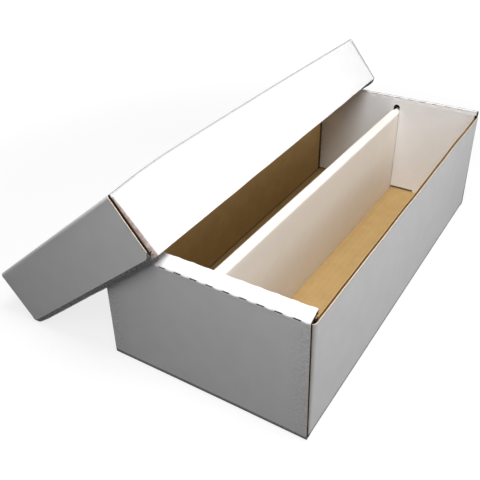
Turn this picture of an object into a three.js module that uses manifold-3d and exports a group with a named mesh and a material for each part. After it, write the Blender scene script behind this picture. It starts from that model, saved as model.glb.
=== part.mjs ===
// Two-row cardboard card storage box, with its lid tipped against it.
// Three die-cut sheets are folded into it: a tray with roll-over ends, a lid with
// roll-over ends, and a folded divider whose ears sit in slots in the tray's ends.
// Each panel between two creases is one mesh. Millimetres, +Z up, +Y to the back,
// origin at the centre of the tray's underside.
import * as THREE from 'three';
import Module from 'manifold-3d';
import { mergeVertices } from 'three/addons/utils/BufferGeometryUtils.js';

// Board
const boardThickness = 3;
const boardGap = 0.3;
const sideFoldRadius = 4.5;
const creaseRadius = 2;
const creaseLeg = 1;

// Tray
const trayWidth = 190;
const trayCutInset = 1.9;
const trayLength = 412;
const trayEndHeight = 118;
const traySideDrop = 4;
const frontEndDepth = 12;
const backEndDepth = 10;
const frontRimRise = 5;
const backRimRise = 3;
const innerPanelLift = 2.6;
const innerPanelPlay = 0.6;

// Flaps tucked into the roll-over ends
const tuckFlapDrop = 2;
const tuckFlapBevel = 12;
const tuckFlapEndSpace = 10;

// Lock tabs of the inner panels, and the slots that they drop through
const trayTabWidth = 28;
const lidTabWidth = 50;
const tabRecess = 0.6;
const tabBevel = 4;
const slotClearance = 0.4;

// Cut dashes along the creases of the rims
const dashPitch = 14.3;
const dashLength = 5.5;
const dashWidth = 0.9;
const dashDepth = 1.6;
const dashOffset = -3;

// Divider
const dividerWidth = 10.9;
const dividerDrop = 12.4;
const dividerShift = 0.6;
const dividerSkew = 0.67;
const dividerShoulder = 2.6;
const dividerCrownDrop = 9;
const earWidth = 6.8;
const earShoulder = 3;
const earTaperLength = 6;
const earEndGap = 0.7;
const dividerLift = 5;

// Lid
const lidSideClearance = 3;
const lidDepth = 57.6;
const lidCutInset = 0.9;
const lidSideRecess = 4.4;
const lidRimClearance = 7;
const lidRimReach = 64.6;
const tableGap = 0.3;

const arcSteps = 4;
const cutOverrun = 1;
const samePoint = 0.001;

const wasm = await Module();
wasm.setup();

const T = boardThickness;
const G = boardGap;
const traySideHeight = trayEndHeight - traySideDrop;
const dividerHeight = trayEndHeight - dividerDrop;

const linerWhite = { color: 0xf1f0ee, roughness: 0.62, metalness: 0 };
const kraftInside = { color: 0xb9935d, roughness: 0.85, metalness: 0 };

// Solid helpers

// Turns a closed three.js geometry into a solid for joining and cutting.
function solidOf(geometry) {
  const bare = geometry.clone();
  bare.deleteAttribute('normal');
  bare.deleteAttribute('uv');
  const merged = mergeVertices(bare);
  return new wasm.Manifold(new wasm.Mesh({
    numProp: 3,
    vertProperties: new Float32Array(merged.attributes.position.array),
    triVerts: new Uint32Array(merged.index.array),
  }));
}

// Turns a solid back into a flat-shaded geometry.
function geometryOf(solid) {
  const mesh = solid.getMesh();
  const points = [];
  for (let i = 0; i < mesh.vertProperties.length; i += mesh.numProp) {
    points.push(mesh.vertProperties[i], mesh.vertProperties[i + 1], mesh.vertProperties[i + 2]);
  }
  const geometry = new THREE.BufferGeometry();
  geometry.setAttribute('position', new THREE.Float32BufferAttribute(points, 3));
  geometry.setIndex(Array.from(mesh.triVerts));
  const flat = geometry.toNonIndexed();
  flat.computeVertexNormals();
  return flat;
}

// A block between two corners.
function block(low, high) {
  const size = high.map((value, axis) => value - low[axis]);
  const geometry = new THREE.BoxGeometry(...size);
  return geometry.translate(...low.map((value, axis) => value + size[axis] / 2));
}

// An outline in X and Y, raised from z = low to z = high.
function raised(shape, low, high) {
  const geometry = new THREE.ExtrudeGeometry(shape, {
    depth: high - low,
    bevelEnabled: false,
    curveSegments: arcSteps,
  });
  return geometry.translate(0, 0, low);
}

// An outline in X and Z, drawn out along Y from low to high.
function alongY(shape, low, high) {
  const geometry = new THREE.ExtrudeGeometry(shape, {
    depth: high - low,
    bevelEnabled: false,
    curveSegments: arcSteps,
  });
  return geometry.rotateX(Math.PI / 2).translate(0, high, 0);
}

// An outline in Y and Z, drawn out along X from low to high.
function alongX(shape, low, high) {
  const geometry = new THREE.ExtrudeGeometry(shape, {
    depth: high - low,
    bevelEnabled: false,
    curveSegments: arcSteps,
  });
  const turn = new THREE.Matrix4().makeBasis(
    new THREE.Vector3(0, 1, 0),
    new THREE.Vector3(0, 0, 1),
    new THREE.Vector3(1, 0, 0),
  );
  return geometry.applyMatrix4(turn).translate(low, 0, 0);
}

// Cuts each tool out of a blank and gives the result back as a geometry.
function cut(blank, tools) {
  let solid = solidOf(blank);
  for (const tool of tools) {
    solid = solid.subtract(solidOf(tool));
  }
  return geometryOf(solid);
}

// Keeps only what a blank and a second shape share.
function shared(blank, other) {
  return geometryOf(solidOf(blank).intersect(solidOf(other)));
}

// A polygon from [x, y] pairs.
function outline(points) {
  return new THREE.Shape(points.map(([x, y]) => new THREE.Vector2(x, y)));
}

function panel(name, geometry, finish) {
  const mesh = new THREE.Mesh(geometry, new THREE.MeshStandardMaterial(finish));
  mesh.name = name;
  return mesh;
}

// Folded blank

// The base panel, with its lock tab slots at both ends.
function basePanel(blank) {
  const halfX = blank.width / 2 - T - G;
  const halfY = blank.length / 2 - T - G;
  const sheet = block([-halfX, -halfY, 0], [halfX, halfY, T]);
  const reach = blank.tabWidth / 2 + slotClearance;
  const slots = [];
  for (const end of blank.ends) {
    const outer = blank.length / 2 - end.depth + T + slotClearance;
    const inner = blank.length / 2 - end.depth - slotClearance;
    const low = end.back ? inner : -outer;
    const high = end.back ? outer : -inner;
    for (const centre of blank.tabCentres) {
      slots.push(block(
        [centre - reach, low, -cutOverrun],
        [centre + reach, high, T + cutOverrun],
      ));
    }
  }
  return cut(sheet, slots);
}

// Plan of the right side wall: a straight run whose ends fold round towards the flaps.
function sideWallPlan(blank) {
  const outerX = blank.width / 2;
  const endY = blank.length / 2 - T - G;
  const R = sideFoldRadius;
  const r = R - T;
  const plan = new THREE.Shape();
  plan.moveTo(outerX - R, -endY);
  plan.absarc(outerX - R, -endY + R, R, -Math.PI / 2, 0, false);
  plan.lineTo(outerX, endY - R);
  plan.absarc(outerX - R, endY - R, R, 0, Math.PI / 2, false);
  plan.lineTo(outerX - R, endY - T);
  plan.absarc(outerX - R, endY - R, r, Math.PI / 2, 0, true);
  plan.lineTo(outerX - T, -endY + R);
  plan.absarc(outerX - R, -endY + R, r, 0, -Math.PI / 2, true);
  plan.closePath();
  return plan;
}

// Section of the right side wall with its rounded bottom crease.
function sideWallSection(blank) {
  const outerX = blank.width / 2;
  const innerX = outerX - sideFoldRadius - cutOverrun;
  const section = new THREE.Shape();
  section.moveTo(innerX, 0);
  section.lineTo(outerX - creaseRadius, 0);
  section.absarc(outerX - creaseRadius, creaseRadius, creaseRadius, -Math.PI / 2, 0, false);
  section.lineTo(outerX, blank.sideHeight);
  section.lineTo(innerX, blank.sideHeight);
  section.closePath();
  return section;
}

// The right side wall. Its folded ends stop above the base panel.
function sideWall(blank) {
  const reach = blank.length / 2;
  const innerX = blank.width / 2 - T;
  const wall = shared(
    raised(sideWallPlan(blank), 0, blank.sideHeight),
    alongY(sideWallSection(blank), -reach, reach),
  );
  const underFolds = block(
    [innerX - sideFoldRadius, -reach, -cutOverrun],
    [innerX, reach, T + G],
  );
  return cut(wall, [underFolds]);
}

// A flap tucked inside the front end, on the right. y is counted from the end's outer face.
function tuckFlap(blank) {
  const root = blank.width / 2 - sideFoldRadius - G;
  const tip = blank.flapTip;
  const low = T + G;
  const high = blank.sideHeight - tuckFlapDrop;
  const shape = outline([
    [tip, low + tuckFlapBevel],
    [tip + tuckFlapBevel, low],
    [root, low],
    [root, high],
    [tip + tuckFlapBevel, high],
    [tip, high - tuckFlapBevel],
  ]);
  return alongY(shape, T + G, 2 * T + G);
}

// Heights of the two crease lines under the rim board.
function rimLegs(blank, end) {
  const slope = end.rise / end.depth;
  const underside = blank.endHeight - T * Math.hypot(1, slope);
  return {
    outer: underside + T * slope - creaseLeg,
    inner: underside + (end.depth - T) * slope - creaseLeg,
  };
}

// The outer end panel, up to the rim's outer crease.
function endOuterPanel(blank, end) {
  const halfX = blank.width / 2 - blank.cutInset;
  const top = rimLegs(blank, end).outer - G;
  const section = new THREE.Shape();
  section.moveTo(creaseRadius, 0);
  section.lineTo(T, 0);
  section.lineTo(T, top);
  section.lineTo(0, top);
  section.lineTo(0, creaseRadius);
  section.absarc(creaseRadius, creaseRadius, creaseRadius, Math.PI, 3 * Math.PI / 2, false);
  return alongX(section, -halfX, halfX);
}

// Section of the rim board between the two top creases.
function rimSection(blank, end) {
  const slope = end.rise / end.depth;
  const legs = rimLegs(blank, end);
  const H = blank.endHeight;
  const D = end.depth;
  const topAt = (y) => H + y * slope;
  const underAt = (y) => H + y * slope - T * Math.hypot(1, slope);
  const section = new THREE.Shape();
  section.moveTo(0, legs.outer);
  section.lineTo(0, H - creaseRadius);
  section.quadraticCurveTo(0, H, creaseRadius, topAt(creaseRadius));
  section.lineTo(D - creaseRadius, topAt(D - creaseRadius));
  section.quadraticCurveTo(D, H + end.rise, D, H + end.rise - creaseRadius);
  section.lineTo(D, legs.inner);
  section.lineTo(D - T, legs.inner);
  section.lineTo(D - T, underAt(D - T));
  section.lineTo(T, underAt(T));
  section.lineTo(T, legs.outer);
  section.closePath();
  return section;
}

// The row of cut dashes along one crease of the rim, as cutting blocks.
function dashCuts(blank, end, atInner) {
  const H = atInner ? blank.endHeight + end.rise : blank.endHeight;
  const y = atInner ? end.depth - creaseRadius : creaseRadius;
  const halfSpan = blank.width / 2 - dashLength;
  const cuts = [];
  const each = Math.floor(halfSpan / dashPitch);
  for (let i = -each; i <= each; i += 1) {
    const x = i * dashPitch + dashOffset;
    if (Math.abs(x) + dashLength > blank.width / 2 - blank.cutInset) {
      continue;
    }
    cuts.push(block(
      [x - dashLength / 2, y - dashWidth / 2, H - dashDepth],
      [x + dashLength / 2, y + dashWidth / 2, H + cutOverrun],
    ));
  }
  return cuts;
}

function rimPanel(blank, end) {
  const halfX = blank.width / 2 - blank.cutInset;
  const bar = alongX(rimSection(blank, end), -halfX, halfX);
  return cut(bar, [...dashCuts(blank, end, false), ...dashCuts(blank, end, true)]);
}

// The inner end panel, with its lock tabs and, in the tray, the divider's slot.
function endInnerPanel(blank, end) {
  const halfX = blank.width / 2 - T - innerPanelPlay;
  const bottom = T + innerPanelLift;
  const top = rimLegs(blank, end).inner - G;
  const tabTip = tabRecess;
  const points = [[-halfX, bottom]];
  const centres = blank.tabCentres.map((x) => (end.back ? -x : x)).sort((a, b) => a - b);
  for (const centre of centres) {
    const half = blank.tabWidth / 2;
    points.push([centre - half, bottom], [centre - half, tabTip + tabBevel / 2]);
    points.push([centre - half + tabBevel, tabTip], [centre + half - tabBevel, tabTip]);
    points.push([centre + half, tabTip + tabBevel / 2], [centre + half, bottom]);
  }
  points.push([halfX, bottom], [halfX, top], [-halfX, top]);
  const sheet = alongY(outline(points), end.depth - T, end.depth);
  if (!blank.dividerSlot) {
    return sheet;
  }
  const slot = blank.dividerSlot;
  const middle = end.back
    ? -slot.centreAt(blank.length / 2 - end.depth + T / 2)
    : slot.centreAt(-blank.length / 2 + end.depth - T / 2);
  const arch = new THREE.Shape();
  arch.moveTo(middle - slot.width / 2, bottom - cutOverrun);
  arch.lineTo(middle + slot.width / 2, bottom - cutOverrun);
  arch.lineTo(middle + slot.width / 2, slot.top - slot.width / 2);
  arch.absarc(middle, slot.top - slot.width / 2, slot.width / 2, 0, Math.PI, false);
  arch.closePath();
  const opening = new THREE.ExtrudeGeometry(arch, {
    depth: T + 2 * cutOverrun,
    bevelEnabled: false,
    curveSegments: 2 * arcSteps,
  });
  opening.rotateX(Math.PI / 2).translate(0, end.depth + cutOverrun, 0);
  return cut(sheet, [opening]);
}

// One roll-over end: outer panel, rim, inner panel and the two tuck flaps behind them.
function rolledEnd(blank, end) {
  const group = new THREE.Group();
  const name = `${blank.name}_${end.name}`;
  group.add(panel(`${name}_end_outer`, endOuterPanel(blank, end), linerWhite));
  group.add(panel(`${name}_end_rim`, rimPanel(blank, end), linerWhite));
  group.add(panel(`${name}_end_inner`, endInnerPanel(blank, end), linerWhite));
  const right = end.back ? 'left' : 'right';
  const left = end.back ? 'right' : 'left';
  group.add(panel(`${name}_${right}_flap`, tuckFlap(blank), kraftInside));
  const mirrored = panel(`${name}_${left}_flap`, tuckFlap(blank), kraftInside);
  mirrored.rotation.z = Math.PI;
  mirrored.position.y = 3 * T + 2 * G;
  group.add(mirrored);
  group.rotation.z = end.back ? Math.PI : 0;
  group.position.y = end.back ? blank.length / 2 : -blank.length / 2;
  return group;
}

// A whole folded blank, base down, centred on X and Y.
function foldedBlank(blank) {
  const group = new THREE.Group();
  group.add(panel(`${blank.name}_${blank.baseName}`, basePanel(blank), kraftInside));
  group.add(panel(`${blank.name}_right_wall`, sideWall(blank), linerWhite));
  const leftWall = panel(`${blank.name}_left_wall`, sideWall(blank), linerWhite);
  leftWall.rotation.z = Math.PI;
  group.add(leftWall);
  for (const end of blank.ends) {
    group.add(rolledEnd(blank, end));
  }
  return group;
}

// Divider

// Outer outline of the folded divider in X and Z: a flat crown with round shoulders.
function crownSection(width, shoulder, low) {
  const half = width / 2;
  const top = dividerHeight;
  const r = shoulder;
  const section = new THREE.Shape();
  section.moveTo(-half, low);
  section.lineTo(-half + T, low);
  section.lineTo(-half + T, top - T);
  section.lineTo(half - T, top - T);
  section.lineTo(half - T, low);
  section.lineTo(half, low);
  section.lineTo(half, top - r);
  section.absarc(half - r, top - r, r, 0, Math.PI / 2, false);
  section.lineTo(-half + r, top);
  section.absarc(-half + r, top - r, r, Math.PI / 2, Math.PI, false);
  section.closePath();
  return section.getPoints(arcSteps);
}

// Rectangle of one leaf in X and Z.
function leafSection(width, side) {
  const outer = side * width / 2;
  const inner = side * (width / 2 - T);
  const low = T + G;
  const high = dividerHeight - dividerCrownDrop - G;
  const left = Math.min(outer, inner);
  const right = Math.max(outer, inner);
  return outline([[left, low], [right, low], [right, high], [left, high]]).getPoints();
}

// A closed skin through sections of equal length, stationed along Y.
function lofted(stations) {
  const rings = stations.map(({ section }) => distinct(section));
  const count = rings[0].length;
  const points = [];
  rings.forEach((ring, i) => {
    ring.forEach((p) => points.push(p.x, stations[i].y, p.y));
  });
  const faces = [];
  for (let i = 0; i + 1 < rings.length; i += 1) {
    for (let j = 0; j < count; j += 1) {
      const a = i * count + j;
      const b = i * count + (j + 1) % count;
      faces.push(a, a + count, b, b, a + count, b + count);
    }
  }
  const last = (rings.length - 1) * count;
  THREE.ShapeUtils.triangulateShape(rings[0], []).forEach(([a, b, c]) => faces.push(a, b, c));
  THREE.ShapeUtils.triangulateShape(rings[rings.length - 1], []).forEach(([a, b, c]) => {
    faces.push(last + a, last + c, last + b);
  });
  const geometry = new THREE.BufferGeometry();
  geometry.setAttribute('position', new THREE.Float32BufferAttribute(points, 3));
  geometry.setIndex(faces);
  const flat = geometry.toNonIndexed();
  flat.computeVertexNormals();
  return flat;
}

// Drops the points of an outline that fall on the one before them.
function distinct(points) {
  return points.filter((point, i) => {
    const before = points[(i + points.length - 1) % points.length];
    return point.distanceTo(before) > samePoint;
  });
}

// Places along Y where the divider is full width, and where its ears begin and end.
function dividerStations(sectionOf) {
  const reach = trayLength / 2;
  const bodyFront = -reach + frontEndDepth + G;
  const bodyBack = reach - backEndDepth - G;
  const earFront = -reach + T + earEndGap;
  const earBack = reach - T - earEndGap;
  return [
    { y: earFront, section: sectionOf(earWidth, earShoulder) },
    { y: bodyFront, section: sectionOf(earWidth, earShoulder) },
    { y: bodyFront + earTaperLength, section: sectionOf(dividerWidth, dividerShoulder) },
    { y: bodyBack - earTaperLength, section: sectionOf(dividerWidth, dividerShoulder) },
    { y: bodyBack, section: sectionOf(earWidth, earShoulder) },
    { y: earBack, section: sectionOf(earWidth, earShoulder) },
  ];
}

// Where the divider's middle plane stands at a place along Y. It stands a little askew.
function dividerAt(y) {
  return dividerShift + y * Math.tan(THREE.MathUtils.degToRad(dividerSkew));
}

function divider() {
  const group = new THREE.Group();
  const low = dividerHeight - dividerCrownDrop;
  const crown = lofted(dividerStations((width, shoulder) => crownSection(width, shoulder, low)));
  const left = lofted(dividerStations((width) => leafSection(width, -1)));
  const right = lofted(dividerStations((width) => leafSection(width, 1)));
  group.add(panel('divider_crown', crown, linerWhite));
  group.add(panel('divider_left_leaf', left, linerWhite));
  group.add(panel('divider_right_leaf', right, linerWhite));
  group.rotation.z = -THREE.MathUtils.degToRad(dividerSkew);
  group.position.x = dividerShift;
  return group;
}

// The three sheets

const slotWidth = earWidth + 2 * G;
const rowHalf = (trayWidth / 2 - T + dividerWidth / 2) / 2;

const tray = {
  name: 'tray',
  baseName: 'floor',
  width: trayWidth,
  length: trayLength,
  sideHeight: traySideHeight,
  endHeight: trayEndHeight,
  tabWidth: trayTabWidth,
  tabCentres: [-rowHalf + dividerShift / 2, rowHalf + dividerShift / 2],
  cutInset: trayCutInset,
  flapTip:
    Math.max(Math.abs(dividerAt(-trayLength / 2)), Math.abs(dividerAt(trayLength / 2))) +
    earWidth / 2 +
    tuckFlapEndSpace,
  dividerSlot: {
    centreAt: dividerAt,
    width: slotWidth,
    top: dividerHeight + dividerLift + G,
  },
  ends: [
    { name: 'front', back: false, depth: frontEndDepth, rise: frontRimRise },
    { name: 'back', back: true, depth: backEndDepth, rise: backRimRise },
  ],
};

const lidEndDepth = 3 * T + 2 * G;

const lid = {
  name: 'lid',
  baseName: 'top',
  width: trayWidth + 2 * (lidSideClearance + T),
  length: trayLength + 2 * (G + lidEndDepth),
  sideHeight: lidDepth - lidSideRecess,
  endHeight: lidDepth,
  tabWidth: lidTabWidth,
  tabCentres: [0],
  cutInset: lidCutInset,
  flapTip: tuckFlapEndSpace,
  dividerSlot: null,
  ends: [
    { name: 'front', back: false, depth: lidEndDepth, rise: 0 },
    { name: 'back', back: true, depth: lidEndDepth, rise: 0 },
  ],
};

// The lid is tipped about its lower left rim until its upper right rim clears the
// tray's highest rim, with its ends outside the tray's ends.
function placedLid() {
  const turned = new THREE.Group();
  const body = foldedBlank(lid);
  body.rotation.y = Math.PI;
  body.position.x = lid.width / 2;
  body.position.z = lid.endHeight;
  turned.add(body);
  const upperRim = trayEndHeight + Math.max(frontRimRise, backRimRise) + lidRimClearance;
  const tilt = Math.asin((upperRim - tableGap) / lid.width);
  turned.rotation.y = -tilt;
  turned.position.x = lidRimReach - trayWidth / 2 - lid.width * Math.cos(tilt);
  turned.position.z = tableGap;
  return turned;
}

const box = new THREE.Group();
box.add(foldedBlank(tray));
box.add(divider());
box.add(placedLid());

export default box;
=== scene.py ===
"""A two-row cardboard card storage box with its lid tipped against the tray.

Every panel is single-wall corrugated board, built as the real one is: a white outer liner, a
fluted medium and a kraft inner liner. In the tray and the lid the flutes run along the box, so
they stand upright in the end panels and lie level in the side walls. In the divider they stand
upright.
"""

from __future__ import annotations

import logging
import math
from abc import ABC, abstractmethod
from dataclasses import dataclass, field
from enum import Enum
from typing import Callable

import bmesh
import bpy
from mathutils import Matrix, Vector, noise


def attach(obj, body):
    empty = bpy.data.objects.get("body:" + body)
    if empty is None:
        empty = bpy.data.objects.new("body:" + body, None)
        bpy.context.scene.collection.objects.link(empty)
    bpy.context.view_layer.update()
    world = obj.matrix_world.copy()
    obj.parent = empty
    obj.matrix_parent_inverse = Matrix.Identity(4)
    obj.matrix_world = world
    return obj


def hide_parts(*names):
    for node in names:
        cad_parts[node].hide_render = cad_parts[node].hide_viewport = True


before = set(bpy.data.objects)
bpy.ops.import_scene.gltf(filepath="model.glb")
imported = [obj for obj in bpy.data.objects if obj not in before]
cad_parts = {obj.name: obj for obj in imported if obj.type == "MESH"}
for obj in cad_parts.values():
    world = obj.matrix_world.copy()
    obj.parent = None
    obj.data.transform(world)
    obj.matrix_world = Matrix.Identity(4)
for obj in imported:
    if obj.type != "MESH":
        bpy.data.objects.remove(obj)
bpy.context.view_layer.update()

log = logging.getLogger("card_box")

Flat = tuple[float, float]
Place = tuple[float, float, float]
Colour = tuple[float, float, float]


# Sizes


class End(Enum):
    """Which end of a blank."""

    FRONT = "front"
    BACK = "back"


class BoardSlot(Enum):
    """The record's material slots."""

    WHITE = "white_board"
    KRAFT = "kraft_inside"


@dataclass(frozen=True)
class Gauge:
    """The make-up of the corrugated board and how finely it is drawn, in metres.

    Attributes:
        thickness: the whole board.
        liner: one liner.
        medium: the fluted paper between the liners.
        flute_pitch: from one flute to the next.
        steps_per_flute: columns of the medium's mesh in one flute.
        column_step: the widest column of a liner's mesh.
        edge_reach: how far from a raw edge its wear shows.
    """

    thickness: float = 0.003
    liner: float = 0.00045
    medium: float = 0.00026
    flute_pitch: float = 0.0064
    steps_per_flute: int = 8
    column_step: float = 0.02
    edge_reach: float = 0.004

    def swing(self) -> float:
        """Half the height between the two liners that the medium swings through."""
        return (self.thickness - 2 * self.liner - self.medium) / 2


@dataclass(frozen=True)
class RolledEnd:
    """One roll-over end of a blank, in metres.

    Attributes:
        place: which end it is.
        depth: from its outer face to its inner one.
        rise: how far its inner crease stands above its outer one.
        inset: how far its cut sides lie inside the blank's sides.
        pressed: whether its rim is pressed down between the dashes, as the tray's are.
    """

    place: End
    depth: float
    rise: float
    inset: float
    pressed: bool = True

    @property
    def back(self) -> bool:
        """Whether it is the back end."""
        return self.place is End.BACK


CORNER_SHARES = (0.0, 0.15, 0.35, 0.6, 1.0)


@dataclass(frozen=True)
class Blank:
    """A folded blank with roll-over ends: the tray, or the lid before it is turned over.

    Lengths are in metres. The tables of wear and painted shade hold one number for each row in from
    the wall's end: 1 is the full wear colour, and -1 is full dark painted shade.

    Attributes:
        name: the body that it makes.
        base_name: what its base is called.
        base_slot: the base's material slot.
        width: across the side walls.
        length: from end to end.
        side_height: the side walls' height.
        end_height: the ends' height at their outer creases.
        tab_centres: places of the lock tabs across the blank.
        tab_width: one lock tab.
        flap_tip: from the middle to a tuck flap's tip.
        ends: the two roll-over ends, the front one first.
        slot_centres: places of the divider's slots in the front and the back end.
        slot_width: a divider slot.
        slot_top: the height of its round top.
        fold_radius: of a side wall's folds at the free edge.
        fold_tight: of the same folds at the base.
        fold_easing: how quickly a fold opens from the base upwards.
        fold_wear_and_shade: wear and painted shade of the fold at a wall's own front.
        far_fold_wear_and_shade: wear and painted shade of the fold at its own back.
        crease_bow: how far a side wall's base crease is bent out of line.
        bow_start_share: share of the wall over which the bend begins.
        bow_in_share: how much of the bend goes inwards.
        bow_down_share: how much of it goes down.
        edge_slant: how much lower the raw edge lies at a wall's own front.
        corner_press: how much of the foot's rounding is kept at the folds.
        foot_shade: how dark the painted shade along a side wall's foot is.
        foot_shade_reach: how high that painted shade reaches.
        panel_foot_shade: how dark the painted shade along an end's foot is.
        foot_flare: how far an end's cut sides flare at the foot.
        corner_round: how far in from a cut side an end's corner is rounded.
        corner_drop: how much lower the corner lies.
        crease: radius of the base's creases.
        crease_leg: how far a rim reaches down past its bends.
        panel_lift: how far an inner panel's foot stands above the base.
        panel_play: between an inner panel and a side wall.
        gap: between two pieces that are folded from one sheet.
    """

    name: str
    base_name: str
    base_slot: BoardSlot
    width: float
    length: float
    side_height: float
    end_height: float
    tab_centres: tuple[float, ...]
    tab_width: float
    flap_tip: float
    ends: tuple[RolledEnd, RolledEnd]
    slot_centres: Flat | None = None
    slot_width: float = 0.0074
    slot_top: float = 0.1113
    fold_radius: float = 0.0045
    fold_tight: float = 0.0018
    fold_easing: float = 2.5
    # The tray's folds: a crease tint from wear, darkened in the wear colour as painted shade.
    fold_wear_and_shade: tuple[float, ...] = (0.39, 0.43, 0.43, 0.35, 0.24, 0.12, 0.04)
    far_fold_wear_and_shade: tuple[float, ...] = (0.39, 0.43, 0.43, 0.35, 0.24, 0.12, 0.04)
    crease_bow: float = 0.0
    bow_start_share: float = 0.2
    bow_in_share: float = 0.77
    bow_down_share: float = 0.64
    edge_slant: float = 0.0
    corner_press: float = 0.2
    # Dark painted shade along the feet of the walls and the ends.
    foot_shade: float = 1.0
    foot_shade_reach: float = 0.0055
    panel_foot_shade: float = 1.0
    foot_flare: float = 0.0016
    corner_round: float = 0.0
    corner_drop: float = 0.0
    crease: float = 0.0026
    crease_leg: float = 0.001
    panel_lift: float = 0.0026
    panel_play: float = 0.0006
    gap: float = 0.0003

    def fold_at(self, height: float) -> float:
        """Radius of a side wall's fold at a height: tight at the base, looser at the free edge."""
        share = min(1.0, max(0.0, height / self.side_height))
        return self.fold_radius - (self.fold_radius - self.fold_tight) * (1.0 - share) ** self.fold_easing

    def straight(self, gauge: Gauge) -> float:
        """Length of a side wall between its two folds."""
        return self.length - 2 * (gauge.thickness + self.gap + self.fold_radius)

    def front_share(self, along: float, gauge: Gauge) -> float:
        """1 at a side wall's own front fold, falling to 0 at its back fold."""
        return min(1.0, max(0.0, 0.5 - along / self.straight(gauge)))

    def bow_at(self, along: float, gauge: Gauge) -> float:
        """How far a side wall's base crease is bent out of line.

        Args:
            along: the place along the wall, from its middle.
            gauge: the board.

        Returns:
            The distance, in metres.
        """
        share = self.front_share(along, gauge)
        start = min(1.0, share / self.bow_start_share)
        return self.crease_bow * start * (2.0 - start) * (1.0 - share * share)

    def corner_share(self, end: RolledEnd, s: float) -> float:
        """How far in a place is past an end's rounded corner.

        Args:
            end: the roll-over end.
            s: the place across the end.

        Returns:
            0 at the cut side, rising to 1 where the corner is over.
        """
        if not self.corner_round:
            return 1.0
        return min(1.0, max(0.0, (self.width / 2 - end.inset - abs(s)) / self.corner_round))

    def rise_at(self, end: RolledEnd, s: float) -> float:
        """How far an end's inner crease stands above its outer one."""
        share = self.corner_share(end, s)
        return end.rise * share * (2.0 - share)

    def height_at(self, end: RolledEnd, s: float) -> float:
        """The end's height at its outer crease, lower where the corner is rounded."""
        return self.end_height - self.corner_drop * (1.0 - self.corner_share(end, s)) ** 2

    def corner_columns(self, end: RolledEnd) -> set[float]:
        """Places across an end that follow its rounded corners.

        Args:
            end: the roll-over end.

        Returns:
            The places on both sides, or none where the corners are square.
        """
        if not self.corner_round:
            return set()
        half = self.width / 2 - end.inset
        steps = (half - self.corner_round * share for share in CORNER_SHARES)
        return {sign * x for x in steps for sign in (-1, 1)}

    def rim_leg(self, end: RolledEnd, s: float, gauge: Gauge) -> Flat:
        """Heights at which the rim's outer and inner creases end.

        Args:
            end: the roll-over end.
            s: the place across the end.
            gauge: the board.

        Returns:
            The outer and the inner height, in metres.
        """
        slope = self.rise_at(end, s) / end.depth
        under = self.height_at(end, s) - gauge.thickness * math.hypot(1, slope)
        outer = under + gauge.thickness * slope - self.crease_leg
        inner = under + (end.depth - gauge.thickness) * slope - self.crease_leg
        return outer, inner


# Finishes


class Face(Enum):
    """Which face of the board a finish goes on."""

    OUTER = 0
    INNER = 1
    MEDIUM = 2
    CUT = 3
    # Inner faces and medium inside closed ends and folds, darkened as painted shade.
    PAINTED_HOLLOW_SHADE = 4
    # White liner tinted with painted warm bounce light.
    DIVIDER = 5


@dataclass(frozen=True)
class LinerFinish:
    """A paper liner as it looks on the flat of the board.

    Attributes:
        name: what it is.
        base: its colour.
        shade: the colour of its clouds, its flutes' shade and its dust.
        fleck: the colour of its flecks.
        worn_and_fold_shade: the colour that wear brings out, also laid on folds as painted shade.
        mottle: how much of the clouds shows.
        fleck_amount: how much of the flecks shows.
        flute_shade: how much of the flutes shows in its colour.
        flute_bump: how much of them shows in its height, in metres.
        fibre_bump: the height of its fibres, in metres.
        roughness: how matt it is.
        wear: how much wear shows beside raw edges.
        painted_shade: the near-black colour laid along feet, rims and folds as painted shade.
    """

    name: str
    base: Colour
    shade: Colour
    fleck: Colour
    worn_and_fold_shade: Colour
    mottle: float
    fleck_amount: float
    flute_shade: float
    flute_bump: float
    fibre_bump: float
    roughness: float
    wear: float
    # Near-black painted shade for the lines at feet, rims and folds.
    painted_shade: Colour = (0.03, 0.028, 0.027)


WHITE_LINER = LinerFinish(
    name="White clay-coated liner",
    base=(0.84, 0.84, 0.85),
    shade=(0.8, 0.795, 0.805),
    fleck=(0.66, 0.63, 0.6),
    # Dark brown: wear at cut edges and creases, and painted shade on the folds' bands.
    worn_and_fold_shade=(0.29, 0.21, 0.18),
    mottle=0.5,
    fleck_amount=0.12,
    flute_shade=0.004,
    flute_bump=0.000012,
    fibre_bump=0.00002,
    roughness=0.56,
    wear=0.35,
)

# Warmer and a little brighter than the white liner: painted light, the warm bounce from the kraft floor laid
# into the colour.
DIVIDER_LINER = LinerFinish(
    name="Divider liner tinted with painted warm bounce light",
    base=(0.87, 0.825, 0.765),
    shade=(0.83, 0.785, 0.725),
    fleck=(0.66, 0.61, 0.55),
    worn_and_fold_shade=(0.5, 0.4, 0.33),
    mottle=0.5,
    fleck_amount=0.14,
    flute_shade=0.004,
    flute_bump=0.000012,
    fibre_bump=0.00002,
    roughness=0.6,
    wear=0.3,
)

KRAFT_LINER = LinerFinish(
    name="Brown kraft liner",
    base=(0.47, 0.313, 0.13),
    shade=(0.41, 0.27, 0.109),
    fleck=(0.3, 0.19, 0.09),
    worn_and_fold_shade=(0.62, 0.46, 0.27),
    mottle=0.7,
    fleck_amount=0.3,
    flute_shade=0.03,
    flute_bump=0.00006,
    fibre_bump=0.00004,
    roughness=0.8,
    wear=0.2,
)

FLUTED_MEDIUM = LinerFinish(
    name="Fluted kraft medium",
    base=(0.36, 0.22, 0.09),
    shade=(0.29, 0.175, 0.07),
    fleck=(0.18, 0.11, 0.05),
    worn_and_fold_shade=(0.42, 0.28, 0.15),
    mottle=0.8,
    fleck_amount=0.35,
    flute_shade=0.0,
    flute_bump=0.0,
    fibre_bump=0.00005,
    roughness=0.9,
    wear=0.2,
)

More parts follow.
